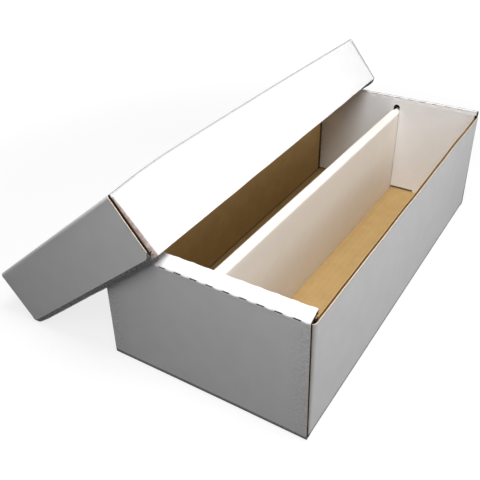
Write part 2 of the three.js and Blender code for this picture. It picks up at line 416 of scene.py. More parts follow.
CUT_PAPER = LinerFinish(
    name="Cut paper edge",
    base=(0.65, 0.55, 0.42),
    shade=(0.54, 0.43, 0.3),
    fleck=(0.36, 0.24, 0.13),
    worn_and_fold_shade=(0.78, 0.7, 0.58),
    mottle=0.9,
    fleck_amount=0.4,
    flute_shade=0.0,
    flute_bump=0.0,
    fibre_bump=0.00006,
    roughness=0.85,
    wear=0.3,
)

# Near-black kraft: painted shade inside the closed ends, flaps and folds; the real board there is as light as
# the rows' kraft.
PAINTED_SHADE_KRAFT = LinerFinish(
    name="Kraft darkened with painted shade of the closed hollows",
    base=(0.05, 0.031, 0.017),
    shade=(0.035, 0.022, 0.012),
    fleck=(0.025, 0.016, 0.009),
    worn_and_fold_shade=(0.07, 0.045, 0.027),
    mottle=0.8,
    fleck_amount=0.3,
    flute_shade=0.0,
    flute_bump=0.0,
    fibre_bump=0.00004,
    roughness=0.9,
    wear=0.2,
)


@dataclass(frozen=True)
class Grain:
    """The size of a noise texture.

    Attributes:
        scale: features per metre.
        detail: octaves.
        rough: how strong the finer octaves are.
        stretch: how much finer it is along each axis.
        span: the values that become 0 and 1.
    """

    scale: float
    detail: float = 2.0
    rough: float = 0.5
    stretch: Place | None = None
    span: Flat | None = None


PULP_CLOUD = Grain(55.0, 4.0, 0.6)
FIBRE_STREAK = Grain(260.0, 3.0, 0.55, stretch=(1.0, 7.0, 1.0))
FIBRE_HAIR = Grain(900.0, 2.0, 0.7, stretch=(1.0, 3.0, 1.0), span=(0.6, 0.72))
PAPER_TOOTH = Grain(2100.0, 2.0, 0.6)
FLUTE_DRIFT = Grain(24.0, 1.0, stretch=(1.0, 0.35, 1.0))
FLUTE_PATCH = Grain(30.0, span=(0.3, 0.62))
BROKEN_EDGE = Grain(420.0, 4.0, 0.7, span=(0.42, 0.66))
STRAINED_FOLD = Grain(240.0, 3.0, 0.6, span=(0.2, 0.6))
SMUDGE = Grain(11.0, 3.0, 0.55, span=(0.52, 0.78))
DUST_GRAIN = Grain(160.0, 3.0, 0.6, span=(0.35, 0.7))

CLOUD_SHARE = 0.7
MOTTLE_SPAN = (0.35, 0.65)
STREAK_HEIGHT_SHARE = 0.6
DRIFT_TURNS = 0.35
PATCH_SHARE = 0.7
STRAIN_SHARE = 0.4
# How much noise breaks up the lines of painted shade.
SHADE_BREAK_SHARE = 0.2

BAND_GAIN = 4.0
DUST_SHARE = 0.25
ROUGH_SWING = 0.12
PAPER_SPECULAR = 0.32

NODES_PER_LINE = 8
NODE_WIDTH = 180
NODE_HEIGHT = 220


class NodeTree:
    """Short ways to add, set and join the nodes of a tree."""

    def __init__(self, tree: bpy.types.NodeTree) -> None:
        """Starts from an empty tree.

        Args:
            tree: the material's or the group's tree.
        """
        self.tree = tree
        tree.nodes.clear()
        self.count = 0

    def add(self, kind: str, **values: object) -> bpy.types.Node:
        """Adds a node.

        Args:
            kind: the node's class name.
            **values: attributes of the node.

        Returns:
            The node.
        """
        node = self.tree.nodes.new(kind)
        line, spot = divmod(self.count, NODES_PER_LINE)
        node.location = (NODE_WIDTH * spot, -NODE_HEIGHT * line)
        self.count += 1
        for key, value in values.items():
            setattr(node, key, value)
        return node

    def feed(self, socket: bpy.types.NodeSocket, value: object) -> None:
        """Sets a socket to a value, or links it to another socket.

        Args:
            socket: the input.
            value: an output socket, a number or a tuple.
        """
        if isinstance(value, bpy.types.NodeSocket):
            self.tree.links.new(value, socket)
        elif isinstance(value, tuple) and socket.type == "RGBA" and len(value) == 3:
            socket.default_value = (*value, 1.0)
        else:
            socket.default_value = value

    def maths(self, kind: str, *values: object, clamp: bool = False) -> bpy.types.NodeSocket:
        """Adds a Math node.

        Args:
            kind: its operation.
            *values: its inputs.
            clamp: whether its result is held between 0 and 1.

        Returns:
            Its result.
        """
        node = self.add("ShaderNodeMath", operation=kind, use_clamp=clamp)
        for socket, value in zip(node.inputs, values):
            self.feed(socket, value)
        return node.outputs[0]

    def mix(self, factor: object, low: object, high: object, blend: str = "MIX") -> bpy.types.NodeSocket:
        """Adds a colour Mix node.

        Args:
            factor: how much of the second colour shows.
            low: the first colour.
            high: the second colour.
            blend: the blend type.

        Returns:
            The mixed colour.
        """
        node = self.add("ShaderNodeMix", data_type="RGBA", blend_type=blend)
        self.feed(node.inputs["Factor"], factor)
        self.feed(node.inputs["A"], low)
        self.feed(node.inputs["B"], high)
        return node.outputs["Result"]

    def noise(self, vector: object, grain: Grain) -> bpy.types.NodeSocket:
        """Adds a noise texture.

        Args:
            vector: where it is read.
            grain: its size, stretch and span.

        Returns:
            A value about 0.5, or 0 to 1 across the grain's span.
        """
        if grain.stretch:
            vector = self.scaled(vector, grain.stretch)
        node = self.add("ShaderNodeTexNoise", noise_dimensions="3D")
        self.feed(node.inputs["Vector"], vector)
        self.feed(node.inputs["Scale"], grain.scale)
        self.feed(node.inputs["Detail"], grain.detail)
        self.feed(node.inputs["Roughness"], grain.rough)
        value = node.outputs["Fac"]
        return self.ramp(value, *grain.span) if grain.span else value

    def ramp(self, value: object, low: float, high: float, smooth: bool = True) -> bpy.types.NodeSocket:
        """Maps a value from low..high to 0..1.

        Args:
            value: the input.
            low: what becomes 0.
            high: what becomes 1.
            smooth: whether the ends are eased.

        Returns:
            The mapped value.
        """
        node = self.add("ShaderNodeMapRange", interpolation_type="SMOOTHSTEP" if smooth else "LINEAR")
        self.feed(node.inputs["Value"], value)
        self.feed(node.inputs["From Min"], low)
        self.feed(node.inputs["From Max"], high)
        return node.outputs["Result"]

    def scaled(self, vector: object, scale: tuple[float, float, float]) -> bpy.types.NodeSocket:
        """Stretches a vector.

        Args:
            vector: the input.
            scale: the factor along each axis.

        Returns:
            The stretched vector.
        """
        node = self.add("ShaderNodeVectorMath", operation="MULTIPLY")
        self.feed(node.inputs[0], vector)
        self.feed(node.inputs[1], scale)
        return node.outputs[0]


@dataclass(frozen=True)
class Socket:
    """A named input or output of a shader node group."""

    name: str
    kind: str
    value: float | Colour | None = None


@dataclass
class GroupParts:
    """A shader node group under construction: the group, its helper, its input and output nodes."""

    group: bpy.types.NodeTree
    nodes: NodeTree
    given: bpy.types.Node
    result: bpy.types.Node


class PaperEffects:
    """The shader node groups that the liners share."""

    def __init__(self) -> None:
        """Builds each group once."""
        self.fibres = self._fibres()
        self.flutes = self._flutes()
        self.handling = self._handling()

    def _group(self, name: str, inputs: tuple[Socket, ...], outputs: tuple[Socket, ...]) -> GroupParts:
        """Starts a group with its sockets.

        Args:
            name: the group's name.
            inputs: its input sockets.
            outputs: its output sockets.

        Returns:
            The group and its parts.
        """
        group = bpy.data.node_groups.new(name, "ShaderNodeTree")
        for socket in inputs:
            made = group.interface.new_socket(name=socket.name, in_out="INPUT", socket_type=socket.kind)
            if socket.value is not None:
                made.default_value = (*socket.value, 1.0) if isinstance(socket.value, tuple) else socket.value
        for socket in outputs:
            group.interface.new_socket(name=socket.name, in_out="OUTPUT", socket_type=socket.kind)
        nodes = NodeTree(group)
        return GroupParts(group, nodes, nodes.add("NodeGroupInput"), nodes.add("NodeGroupOutput"))

    def _fibres(self) -> bpy.types.NodeTree:
        """Paper fibres: a cloudy mottle, fine flecks and a small height.

        Returns:
            The group.
        """
        parts = self._group(
            "Paper fibres",
            (Socket("Place", "NodeSocketVector"), Socket("Fleck Amount", "NodeSocketFloat", 0.2)),
            (
                Socket("Mottle", "NodeSocketFloat"),
                Socket("Flecks", "NodeSocketFloat"),
                Socket("Height", "NodeSocketFloat"),
            ),
        )
        nodes, given, result = parts.nodes, parts.given, parts.result
        place = given.outputs["Place"]
        cloud = nodes.maths("MULTIPLY", nodes.noise(place, PULP_CLOUD), CLOUD_SHARE)
        streak = nodes.noise(place, FIBRE_STREAK)
        mottle = nodes.maths("ADD", cloud, nodes.maths("MULTIPLY", streak, 1.0 - CLOUD_SHARE))
        nodes.feed(result.inputs["Mottle"], nodes.ramp(mottle, *MOTTLE_SPAN))
        hair = nodes.noise(place, FIBRE_HAIR)
        flecks = nodes.maths("MULTIPLY", hair, given.outputs["Fleck Amount"], clamp=True)
        nodes.feed(result.inputs["Flecks"], flecks)
        ridges = nodes.maths("MULTIPLY", streak, STREAK_HEIGHT_SHARE)
        nodes.feed(result.inputs["Height"], nodes.maths("ADD", ridges, nodes.noise(place, PAPER_TOOTH)))
        return parts.group

    def _flutes(self) -> bpy.types.NodeTree:
        """Flutes showing through the liner: a soft washboard across the flutes.

        Returns:
            The group.
        """
        parts = self._group(
            "Flute show-through",
            (Socket("Place", "NodeSocketVector"), Socket("Pitch", "NodeSocketFloat", Gauge().flute_pitch)),
            (Socket("Band", "NodeSocketFloat"), Socket("Height", "NodeSocketFloat")),
        )
        nodes, given, result = parts.nodes, parts.given, parts.result
        place = given.outputs["Place"]
        split = nodes.add("ShaderNodeSeparateXYZ")
        nodes.feed(split.inputs[0], place)
        turns = nodes.maths("DIVIDE", split.outputs["X"], given.outputs["Pitch"])
        drift = nodes.maths("MULTIPLY", nodes.noise(place, FLUTE_DRIFT), DRIFT_TURNS)
        wave = nodes.maths("COSINE", nodes.maths("MULTIPLY", nodes.maths("ADD", turns, drift), math.tau))
        patch = nodes.maths("MULTIPLY", nodes.noise(place, FLUTE_PATCH), PATCH_SHARE)
        soft = nodes.maths("MULTIPLY", wave, nodes.maths("ADD", patch, 1.0 - PATCH_SHARE))
        nodes.feed(result.inputs["Band"], soft)
        nodes.feed(result.inputs["Height"], soft)
        return parts.group

    def _handling(self) -> bpy.types.NodeTree:
        """Marks of handling and painted shade: a little dust, wear beside cut edges and folds, and dark
        painted shade along feet, rims and folds.

        Returns:
            The group.
        """
        parts = self._group(
            "Handling marks and painted shade",
            (
                Socket("Place", "NodeSocketVector"),
                Socket("Edge", "NodeSocketFloat", 0.0),
                Socket("Crease", "NodeSocketFloat", 0.0),
                Socket("Wear", "NodeSocketFloat", 0.3),
            ),
            (
                Socket("Wear And Fold Shade", "NodeSocketFloat"),
                Socket("Dust", "NodeSocketFloat"),
                Socket("Painted Shade", "NodeSocketFloat"),
            ),
        )
        nodes, given, result = parts.nodes, parts.given, parts.result
        place = given.outputs["Place"]
        broken = nodes.noise(place, BROKEN_EDGE)
        edge = nodes.maths("MULTIPLY", given.outputs["Edge"], broken)
        edge = nodes.maths("MULTIPLY", edge, given.outputs["Wear"])
        strained = nodes.noise(place, STRAINED_FOLD)
        strained = nodes.maths("MULTIPLY_ADD", strained, STRAIN_SHARE, 1.0 - STRAIN_SHARE)
        crease = nodes.maths("MULTIPLY", given.outputs["Crease"], strained, clamp=True)
        # Wear at cut edges; at folds the wear and painted shade of the crease values.
        nodes.feed(result.inputs["Wear And Fold Shade"], nodes.maths("MAXIMUM", edge, crease, clamp=True))
        # Below 0 the crease values are painted shade: dark lines at feet, rims and folds.
        shade_line = nodes.maths("MULTIPLY", given.outputs["Crease"], -1.0, clamp=True)
        patchy = nodes.maths("MULTIPLY_ADD", broken, SHADE_BREAK_SHARE, 1.0 - SHADE_BREAK_SHARE)
        nodes.feed(result.inputs["Painted Shade"], nodes.maths("MULTIPLY", shade_line, patchy))
        smudge, grain = nodes.noise(place, SMUDGE), nodes.noise(place, DUST_GRAIN)
        nodes.feed(result.inputs["Dust"], nodes.maths("MULTIPLY", smudge, grain))
        return parts.group


class LinerMaterial:
    """Makes the Principled material of one liner from its finish."""

    def __init__(self, effects: PaperEffects, gauge: Gauge) -> None:
        """Keeps the shared groups and the board.

        Args:
            effects: the shared node groups.
            gauge: the board, for the flutes' pitch.
        """
        self.effects = effects
        self.gauge = gauge

    def _use(self, nodes: NodeTree, group: bpy.types.NodeTree, **values: object) -> bpy.types.Node:
        """Places a group.

        Args:
            nodes: the material's helper.
            group: the shader node group.
            **values: its inputs, with spaces written as underscores.

        Returns:
            The group node.
        """
        node = nodes.add("ShaderNodeGroup", node_tree=group)
        for key, value in values.items():
            nodes.feed(node.inputs[key.replace("_", " ")], value)
        return node

    def make(self, finish: LinerFinish) -> bpy.types.Material:
        """Builds the material.

        Args:
            finish: the liner's colours and strengths.

        Returns:
            The material.
        """
        material = bpy.data.materials.new(finish.name)
        material.use_nodes = True
        nodes = NodeTree(material.node_tree)
        place = nodes.add("ShaderNodeAttribute", attribute_name="sheet_place").outputs["Vector"]
        edge = nodes.add("ShaderNodeAttribute", attribute_name="edge_near").outputs["Fac"]
        crease = nodes.add("ShaderNodeAttribute", attribute_name="crease_near").outputs["Fac"]
        fibres = self._use(nodes, self.effects.fibres, Place=place, Fleck_Amount=finish.fleck_amount)
        flutes = self._use(nodes, self.effects.flutes, Place=place, Pitch=self.gauge.flute_pitch)
        marks = self._use(
            nodes, self.effects.handling, Place=place, Edge=edge, Crease=crease, Wear=finish.wear
        )
        tone = nodes.maths("MULTIPLY", fibres.outputs["Mottle"], finish.mottle)
        gain = finish.flute_shade * BAND_GAIN
        banded = nodes.maths("MULTIPLY_ADD", flutes.outputs["Band"], gain, tone, clamp=True)
        colour = nodes.mix(banded, finish.base, finish.shade)
        colour = nodes.mix(fibres.outputs["Flecks"], colour, finish.fleck)
        # Wear, and painted shade on the folds, in the wear colour.
        colour = nodes.mix(marks.outputs["Wear And Fold Shade"], colour, finish.worn_and_fold_shade)
        colour = nodes.mix(nodes.maths("MULTIPLY", marks.outputs["Dust"], DUST_SHARE), colour, finish.shade)
        # Painted shade: the dark lines along feet, rims and folds.
        colour = nodes.mix(marks.outputs["Painted Shade"], colour, finish.painted_shade)
        height = nodes.maths(
            "MULTIPLY_ADD",
            flutes.outputs["Height"],
            finish.flute_bump,
            nodes.maths("MULTIPLY", fibres.outputs["Height"], finish.fibre_bump),
        )
        bump = nodes.add("ShaderNodeBump")
        nodes.feed(bump.inputs["Strength"], 1.0)
        nodes.feed(bump.inputs["Distance"], 1.0)
        nodes.feed(bump.inputs["Height"], height)
        shader = nodes.add("ShaderNodeBsdfPrincipled")
        nodes.feed(shader.inputs["Base Color"], colour)
        least = finish.roughness - ROUGH_SWING / 2
        rough = nodes.maths("MULTIPLY_ADD", fibres.outputs["Mottle"], ROUGH_SWING, least)
        nodes.feed(shader.inputs["Roughness"], rough)
        shader.inputs["Specular IOR Level"].default_value = PAPER_SPECULAR
        nodes.feed(shader.inputs["Normal"], bump.outputs["Normal"])
        output = nodes.add("ShaderNodeOutputMaterial")
        nodes.feed(output.inputs["Surface"], shader.outputs["BSDF"])
        return material


@dataclass
class BoardFinishes:
    """The materials of the board, in the order of Face."""

    gauge: Gauge
    materials: dict[Face, bpy.types.Material] = field(default_factory=dict)

    def make(self) -> None:
        """Builds the materials."""
        maker = LinerMaterial(PaperEffects(), self.gauge)
        for face, finish in (
            (Face.OUTER, WHITE_LINER),
            (Face.INNER, KRAFT_LINER),
            (Face.MEDIUM, FLUTED_MEDIUM),
            (Face.CUT, CUT_PAPER),
            (Face.PAINTED_HOLLOW_SHADE, PAINTED_SHADE_KRAFT),
            (Face.DIVIDER, DIVIDER_LINER),
        ):
            self.materials[face] = maker.make(finish)

    def dress(self, piece: bpy.types.Object) -> None:
        """Gives a piece a slot for each face.

        Args:
            piece: the object.
        """
        for face in Face:
            piece.data.materials.append(self.materials[face])


# Board


@dataclass(frozen=True)
class Waver:
    """A slight unevenness of the board.

    Attributes:
        reach: how far it goes, in metres.
        rates: ripples to the unit of each place that it is read at: a metre, a row or a whole run.
        seed: added to the piece's own seed.
    """

    reach: float
    rates: tuple[float, ...]
    seed: float = 0.0

    def at(self, seed: float, *places: float) -> float:
        """How far the board strays, in metres.

        Args:
            seed: the piece's own seed.
            *places: one or two places, as many as the rates.

        Returns:
            The distance, to either side.
        """
        return self.reach * ripple(seed + self.seed, *(x * rate for x, rate in zip(places, self.rates)))


@dataclass
class Sheet(ABC):
    """A panel of board.

    Its outline at a place s is a list of rows. The rows follow one another along the flutes, and s
    runs across them. A band is the stretch from one row to the next.
    """

    gauge: Gauge
    placement: Matrix

    @abstractmethod
    def outline(self, s: float) -> tuple[list[Flat], list[Flat]]:
        """The matched points of the outer and the inner face, in the bending plane, at s."""

    @abstractmethod
    def to_space(self, point: Flat, s: float) -> Vector:
        """A point of the bending plane, and s, in the blank's own frame."""

    @abstractmethod
    def breaks(self) -> list[float]:
        """Places along s where the panel begins, ends, or its outline jumps."""

    def holds(self, band: int, s: float) -> bool:
        """Whether there is board between row band and the next, at s."""
        return True

    def look(self, band: int, face: Face) -> Face:
        """The finish of a face of the board in a row band."""
        return face

    def swing(self, s: float) -> float:
        """Where the medium is at s: -1 at the outer liner, 1 at the inner one."""
        return math.sin(math.tau * s / self.gauge.flute_pitch)

    def relief(self, row: int, s: float) -> float:
        """How far the outer face is pressed in at a row, in metres."""
        return 0.0

    def sway(self, row: int, s: float, share: float) -> Vector:
        """How far the board strays from flat, at a share of its depth, in the blank's own frame."""
        return Vector((0.0, 0.0, 0.0))

    def creased(self, row: int, s: float) -> float:
        """How far the liner is stretched by a fold and given painted shade, from 0 to 1, or how dark its
        painted shade is, from 0 to -1.
        """
        return 0.0

    def cut_sides(self) -> tuple[bool, bool, bool, bool]:
        """Whether the low s, high s, first row and last row are raw cut edges."""
        return True, True, False, False

    def coarse(self) -> list[float]:
        """Column places for the liners: the breaks, and a few between them."""
        return self.fill(self.breaks(), self.gauge.column_step)

    def fine(self) -> list[float]:
        """Column places for the medium: enough for its waves."""
        return self.fill(self.breaks(), self.gauge.flute_pitch / self.gauge.steps_per_flute)

    @staticmethod
    def fill(breaks: list[float], step: float) -> list[float]:
        """Divides each stretch between breaks into equal parts no longer than step.

        Args:
            breaks: sorted places.
            step: the longest part.

        Returns:
            The places with the new ones among them.
        """
        places: list[float] = []
        for low, high in zip(breaks, breaks[1:]):
            count = max(1, math.ceil((high - low) / step))
            places.extend(low + (high - low) * i / count for i in range(count))
        return [*places, breaks[-1]]

    def spot(self, row: int, s: float, depth: float, faces: tuple[list[Flat], list[Flat]]) -> Vector:
        """A point of the board.

        Args:
            row: the row.
            s: the place across the flutes.
            depth: metres in from the outer face.
            faces: outline(s).

        Returns:
            The point in the object's frame.
        """
        flat_share = depth / self.gauge.thickness
        pressed = self.relief(row, s) * (1.0 - flat_share) / self.gauge.thickness
        share = flat_share + pressed * (1.0 - flat_share)
        outer, inner = faces[0][row], faces[1][row]
        point = (outer[0] + (inner[0] - outer[0]) * share, outer[1] + (inner[1] - outer[1]) * share)
        return self.placement @ (self.to_space(point, s) + self.sway(row, s, flat_share))


class BoardMesh:
    """Builds the liners and the medium of one panel as closed shells."""

    weld_distance: float = 1e-7
    sharp_angle: float = 38

    def __init__(self, sheet: Sheet) -> None:
        """Starts an empty mesh.

        Args:
            sheet: the panel.
        """
        self.sheet = sheet
        self.points: list[Vector] = []
        self.places: list[Vector] = []
        self.edges: list[float] = []
        self.creases: list[float] = []
        self.faces: list[tuple[int, ...]] = []
        self.looks: list[int] = []

    def shell(
        self,
        columns: list[float],
        upper: Callable[[float], float],
        lower: Callable[[float], float],
        looks: tuple[Face, Face, Face],
    ) -> None:
        """Adds a closed layer between two depths.

        Args:
            columns: places along s.
            upper: depth of its outer surface at s.
            lower: depth of its inner surface at s.
            looks: the finishes of its outer surface, its inner surface and its edges.
        """
        sheet = self.sheet
        outlines = [sheet.outline(s) for s in columns]
        rows = len(outlines[0][0])
        cells = {
            (i, j)
            for j in range(len(columns) - 1)
            for i in range(rows - 1)
            if sheet.holds(i, (columns[j] + columns[j + 1]) / 2)
        }
        used = sorted({(i + a, j + b) for i, j in cells for a in (0, 1) for b in (0, 1)})
        along = self._along(outlines[len(outlines) // 2][0])
        index: dict[tuple[int, int, int], int] = {}
        for i, j in used:
            s = columns[j]
            for layer, depth in enumerate((upper(s), lower(s))):
                index[i, j, layer] = len(self.points)
                self.points.append(sheet.spot(i, s, depth, outlines[j]))
                self.places.append(Vector((s, along[i], depth)))
                self.edges.append(self._edge(columns, along, i, s))
                self.creases.append(sheet.creased(i, s))
        for i, j in cells:
            corners = ((i, j), (i + 1, j), (i + 1, j + 1), (i, j + 1))
            outer, inner, edge = (sheet.look(i, face) for face in looks)
            self._face([index[*c, 0] for c in corners], outer)
            self._face([index[*c, 1] for c in reversed(corners)], inner)
            for (a, b), near in (
                ((corners[0], corners[1]), (i, j - 1)),
                ((corners[2], corners[3]), (i, j + 1)),
                ((corners[1], corners[2]), (i + 1, j)),
                ((corners[3], corners[0]), (i - 1, j)),
            ):
                if near not in cells:
                    self._face([index[*b, 0], index[*a, 0], index[*a, 1], index[*b, 1]], edge)

    @staticmethod
    def _along(points: list[Flat]) -> list[float]:
        """Measures along the outer face.

        Args:
            points: the outer face's outline.

        Returns:
            The distance to each row.
        """
        total, distances = 0.0, [0.0]
        for a, b in zip(points, points[1:]):
            total += math.dist(a, b)
            distances.append(total)
        return distances

    def _edge(self, columns: list[float], along: list[float], row: int, s: float) -> float:
        """1 at a raw cut edge, falling away from it.

        Args:
            columns: places along s.
            along: distance of each row.
            row: the row.
            s: the place.

        Returns:
            The nearness.
        """
        distances = (s - columns[0], columns[-1] - s, along[row] - along[0], along[-1] - along[row])
        raw = [away for cut, away in zip(self.sheet.cut_sides(), distances) if cut]
        if not raw:
            return 0.0
        return 1.0 - max(0.0, min(1.0, min(raw) / self.sheet.gauge.edge_reach))

    def _face(self, corners: list[int], look: Face) -> None:
        """Keeps a face and its finish."""
        self.faces.append(tuple(corners))
        self.looks.append(look.value)

    def layers(self) -> None:
        """Adds the outer liner, the medium and the inner liner."""
        gauge = self.sheet.gauge
        liner, full = gauge.liner, gauge.thickness
        coarse = self.sheet.coarse()
        self.shell(coarse, lambda s: 0.0, lambda s: liner, (Face.OUTER, Face.MEDIUM, Face.CUT))
        self.shell(coarse, lambda s: full - liner, lambda s: full, (Face.MEDIUM, Face.INNER, Face.INNER))

        def wave(s: float) -> float:
            """Depth of the medium's middle at s."""
            return full / 2 + gauge.swing() * self.sheet.swing(s)

        half = gauge.medium / 2
        self.shell(
            self.sheet.fine(),
            lambda s: wave(s) - half,
            lambda s: wave(s) + half,
            (Face.MEDIUM, Face.MEDIUM, Face.CUT),
        )

    def build(self, name: str) -> bpy.types.Object:
        """Makes the object.

        Args:
            name: its name.

        Returns:
            The object, linked to the scene.
        """
        self.layers()
        mesh = bpy.data.meshes.new(name)
        mesh.from_pydata([tuple(p) for p in self.points], [], self.faces)
        mesh.polygons.foreach_set("material_index", self.looks)
        place = mesh.attributes.new("sheet_place", "FLOAT_VECTOR", "POINT")
        place.data.foreach_set("vector", [c for p in self.places for c in p])
        for title, values in (("edge_near", self.edges), ("crease_near", self.creases)):
            mesh.attributes.new(title, "FLOAT", "POINT").data.foreach_set("value", values)
        kit = bmesh.new()
        kit.from_mesh(mesh)
        bmesh.ops.dissolve_degenerate(kit, dist=self.weld_distance, edges=kit.edges)
        bmesh.ops.recalc_face_normals(kit, faces=kit.faces)
        kit.to_mesh(mesh)
        kit.free()
        mesh.shade_smooth()
        mesh.set_sharp_from_angle(angle=math.radians(self.sharp_angle))
        piece = bpy.data.objects.new(name, mesh)
        bpy.context.scene.collection.objects.link(piece)
        return piece


def arc(centre: Flat, radius: float, start: float, end: float, steps: int) -> list[Flat]:
    """Points along an arc.

    Args:
        centre: its centre.
        radius: its radius.
        start: its first angle, in degrees.
        end: its last angle, in degrees.
        steps: how many parts.

    Returns:
        The points, both ends included.
    """
    angles = [math.radians(start + (end - start) * i / steps) for i in range(steps + 1)]
    return [(centre[0] + radius * math.cos(a), centre[1] + radius * math.sin(a)) for a in angles]


SEED_SPACING = 7.31


def ripple(seed: float, *at: float) -> float:
    """A smooth random value about 0, between -1 and 1.

    Args:
        seed: which ripple.
        *at: up to two places, in ripples.

    Returns:
        The value.
    """
    x, y = (*at, 0.0, 0.0)[:2]
    return noise.noise(Vector((x, y, seed * SEED_SPACING)))


@dataclass
class EndSheet(Sheet):
    """A panel of a roll-over end. Its bending plane holds y, inward from the outer face, and z."""

    blank: Blank
    end: RolledEnd
    seed: float

    def to_space(self, point: Flat, s: float) -> Vector:
        """The end's own frame: x across, y inward, z up."""
        return Vector((s, point[0], point[1]))

    def half(self) -> float:
        """Half the panel's width."""
        return self.blank.width / 2 - self.end.inset

    def look(self, band: int, face: Face) -> Face:
        """The inside of a closed end gets the near-black kraft: painted shade."""
        return Face.PAINTED_HOLLOW_SHADE if face in (Face.INNER, Face.MEDIUM) else face

    def breaks(self) -> list[float]:
        """The two cut sides, and the rounded corners."""
        return sorted({-self.half(), self.half()} | self.blank.corner_columns(self.end))

    def swing(self, s: float) -> float:
        """The medium meets the outer liner at both cut sides."""
        full = 2 * self.half()
        return -math.cos(math.tau * round(full / self.gauge.flute_pitch) * (s + self.half()) / full)


@dataclass
class OuterPanel(EndSheet):
    """The outer panel of an end, from the base's crease to the rim's.

    The tables of shares hold one number for each row from the foot up.
    """

    foot_steps: int = 4
    rise_shares: tuple[float, ...] = (0.01, 0.026, 0.2, 0.4, 0.6, 0.8, 0.92, 1.0)
    # Dark painted shade along the foot's crease, row by row.
    foot_shade_shares: tuple[float, ...] = (1.0, 1.0, 1.0, 1.0, 1.0, 0.85)
    flare_shares: tuple[float, ...] = (1.0, 1.0, 1.0, 1.0, 1.0, 1.0, 1.0, 0.8, 0.6, 0.4, 0.2, 0.08, 0.0)
    belly: float = 0.0004
    waver: Waver = Waver(0.0002, (22, 0.4))

    def outline(self, s: float) -> tuple[list[Flat], list[Flat]]:
        """A rounded foot and a straight rise.

        Args:
            s: the place across the end.

        Returns:
            The outer and the inner face.
        """
        thick, bend = self.gauge.thickness, self.blank.crease
        top = self.blank.rim_leg(self.end, s, self.gauge)[0]
        outer = arc((bend, bend), bend, 270, 180, self.foot_steps)
        inner = [(thick, bend * i / self.foot_steps) for i in range(self.foot_steps + 1)]
        heights = [bend + (top - bend) * share for share in self.rise_shares]
        return outer + [(0.0, z) for z in heights], inner + [(thick, z) for z in heights]

    def creased(self, row: int, s: float) -> float:
        """The foot's crease gets a dark line of painted shade."""
        return -self.blank.panel_foot_shade * self.foot_shade_shares[row] if row < len(self.foot_shade_shares) else 0.0

    def sway(self, row: int, s: float, share: float) -> Vector:
        """The panel bows a little between its creases, and its cut sides flare at the foot.

        On a blank whose base creases are bent, only the side at low s flares.

        Args:
            row: the row.
            s: the place across the end.
            share: how deep in the board.

        Returns:
            The offset.
        """
        last = self.foot_steps + len(self.rise_shares)
        bow = math.sin(math.pi * row / last) * math.cos(math.pi * s / self.blank.width)
        side = min(0.0, s) if self.blank.crease_bow else s
        flare = self.blank.foot_flare * self.flare_shares[row] * (side / self.half()) ** 3
        return Vector((flare, self.belly * bow + self.waver.at(self.seed, s, row), 0.0))


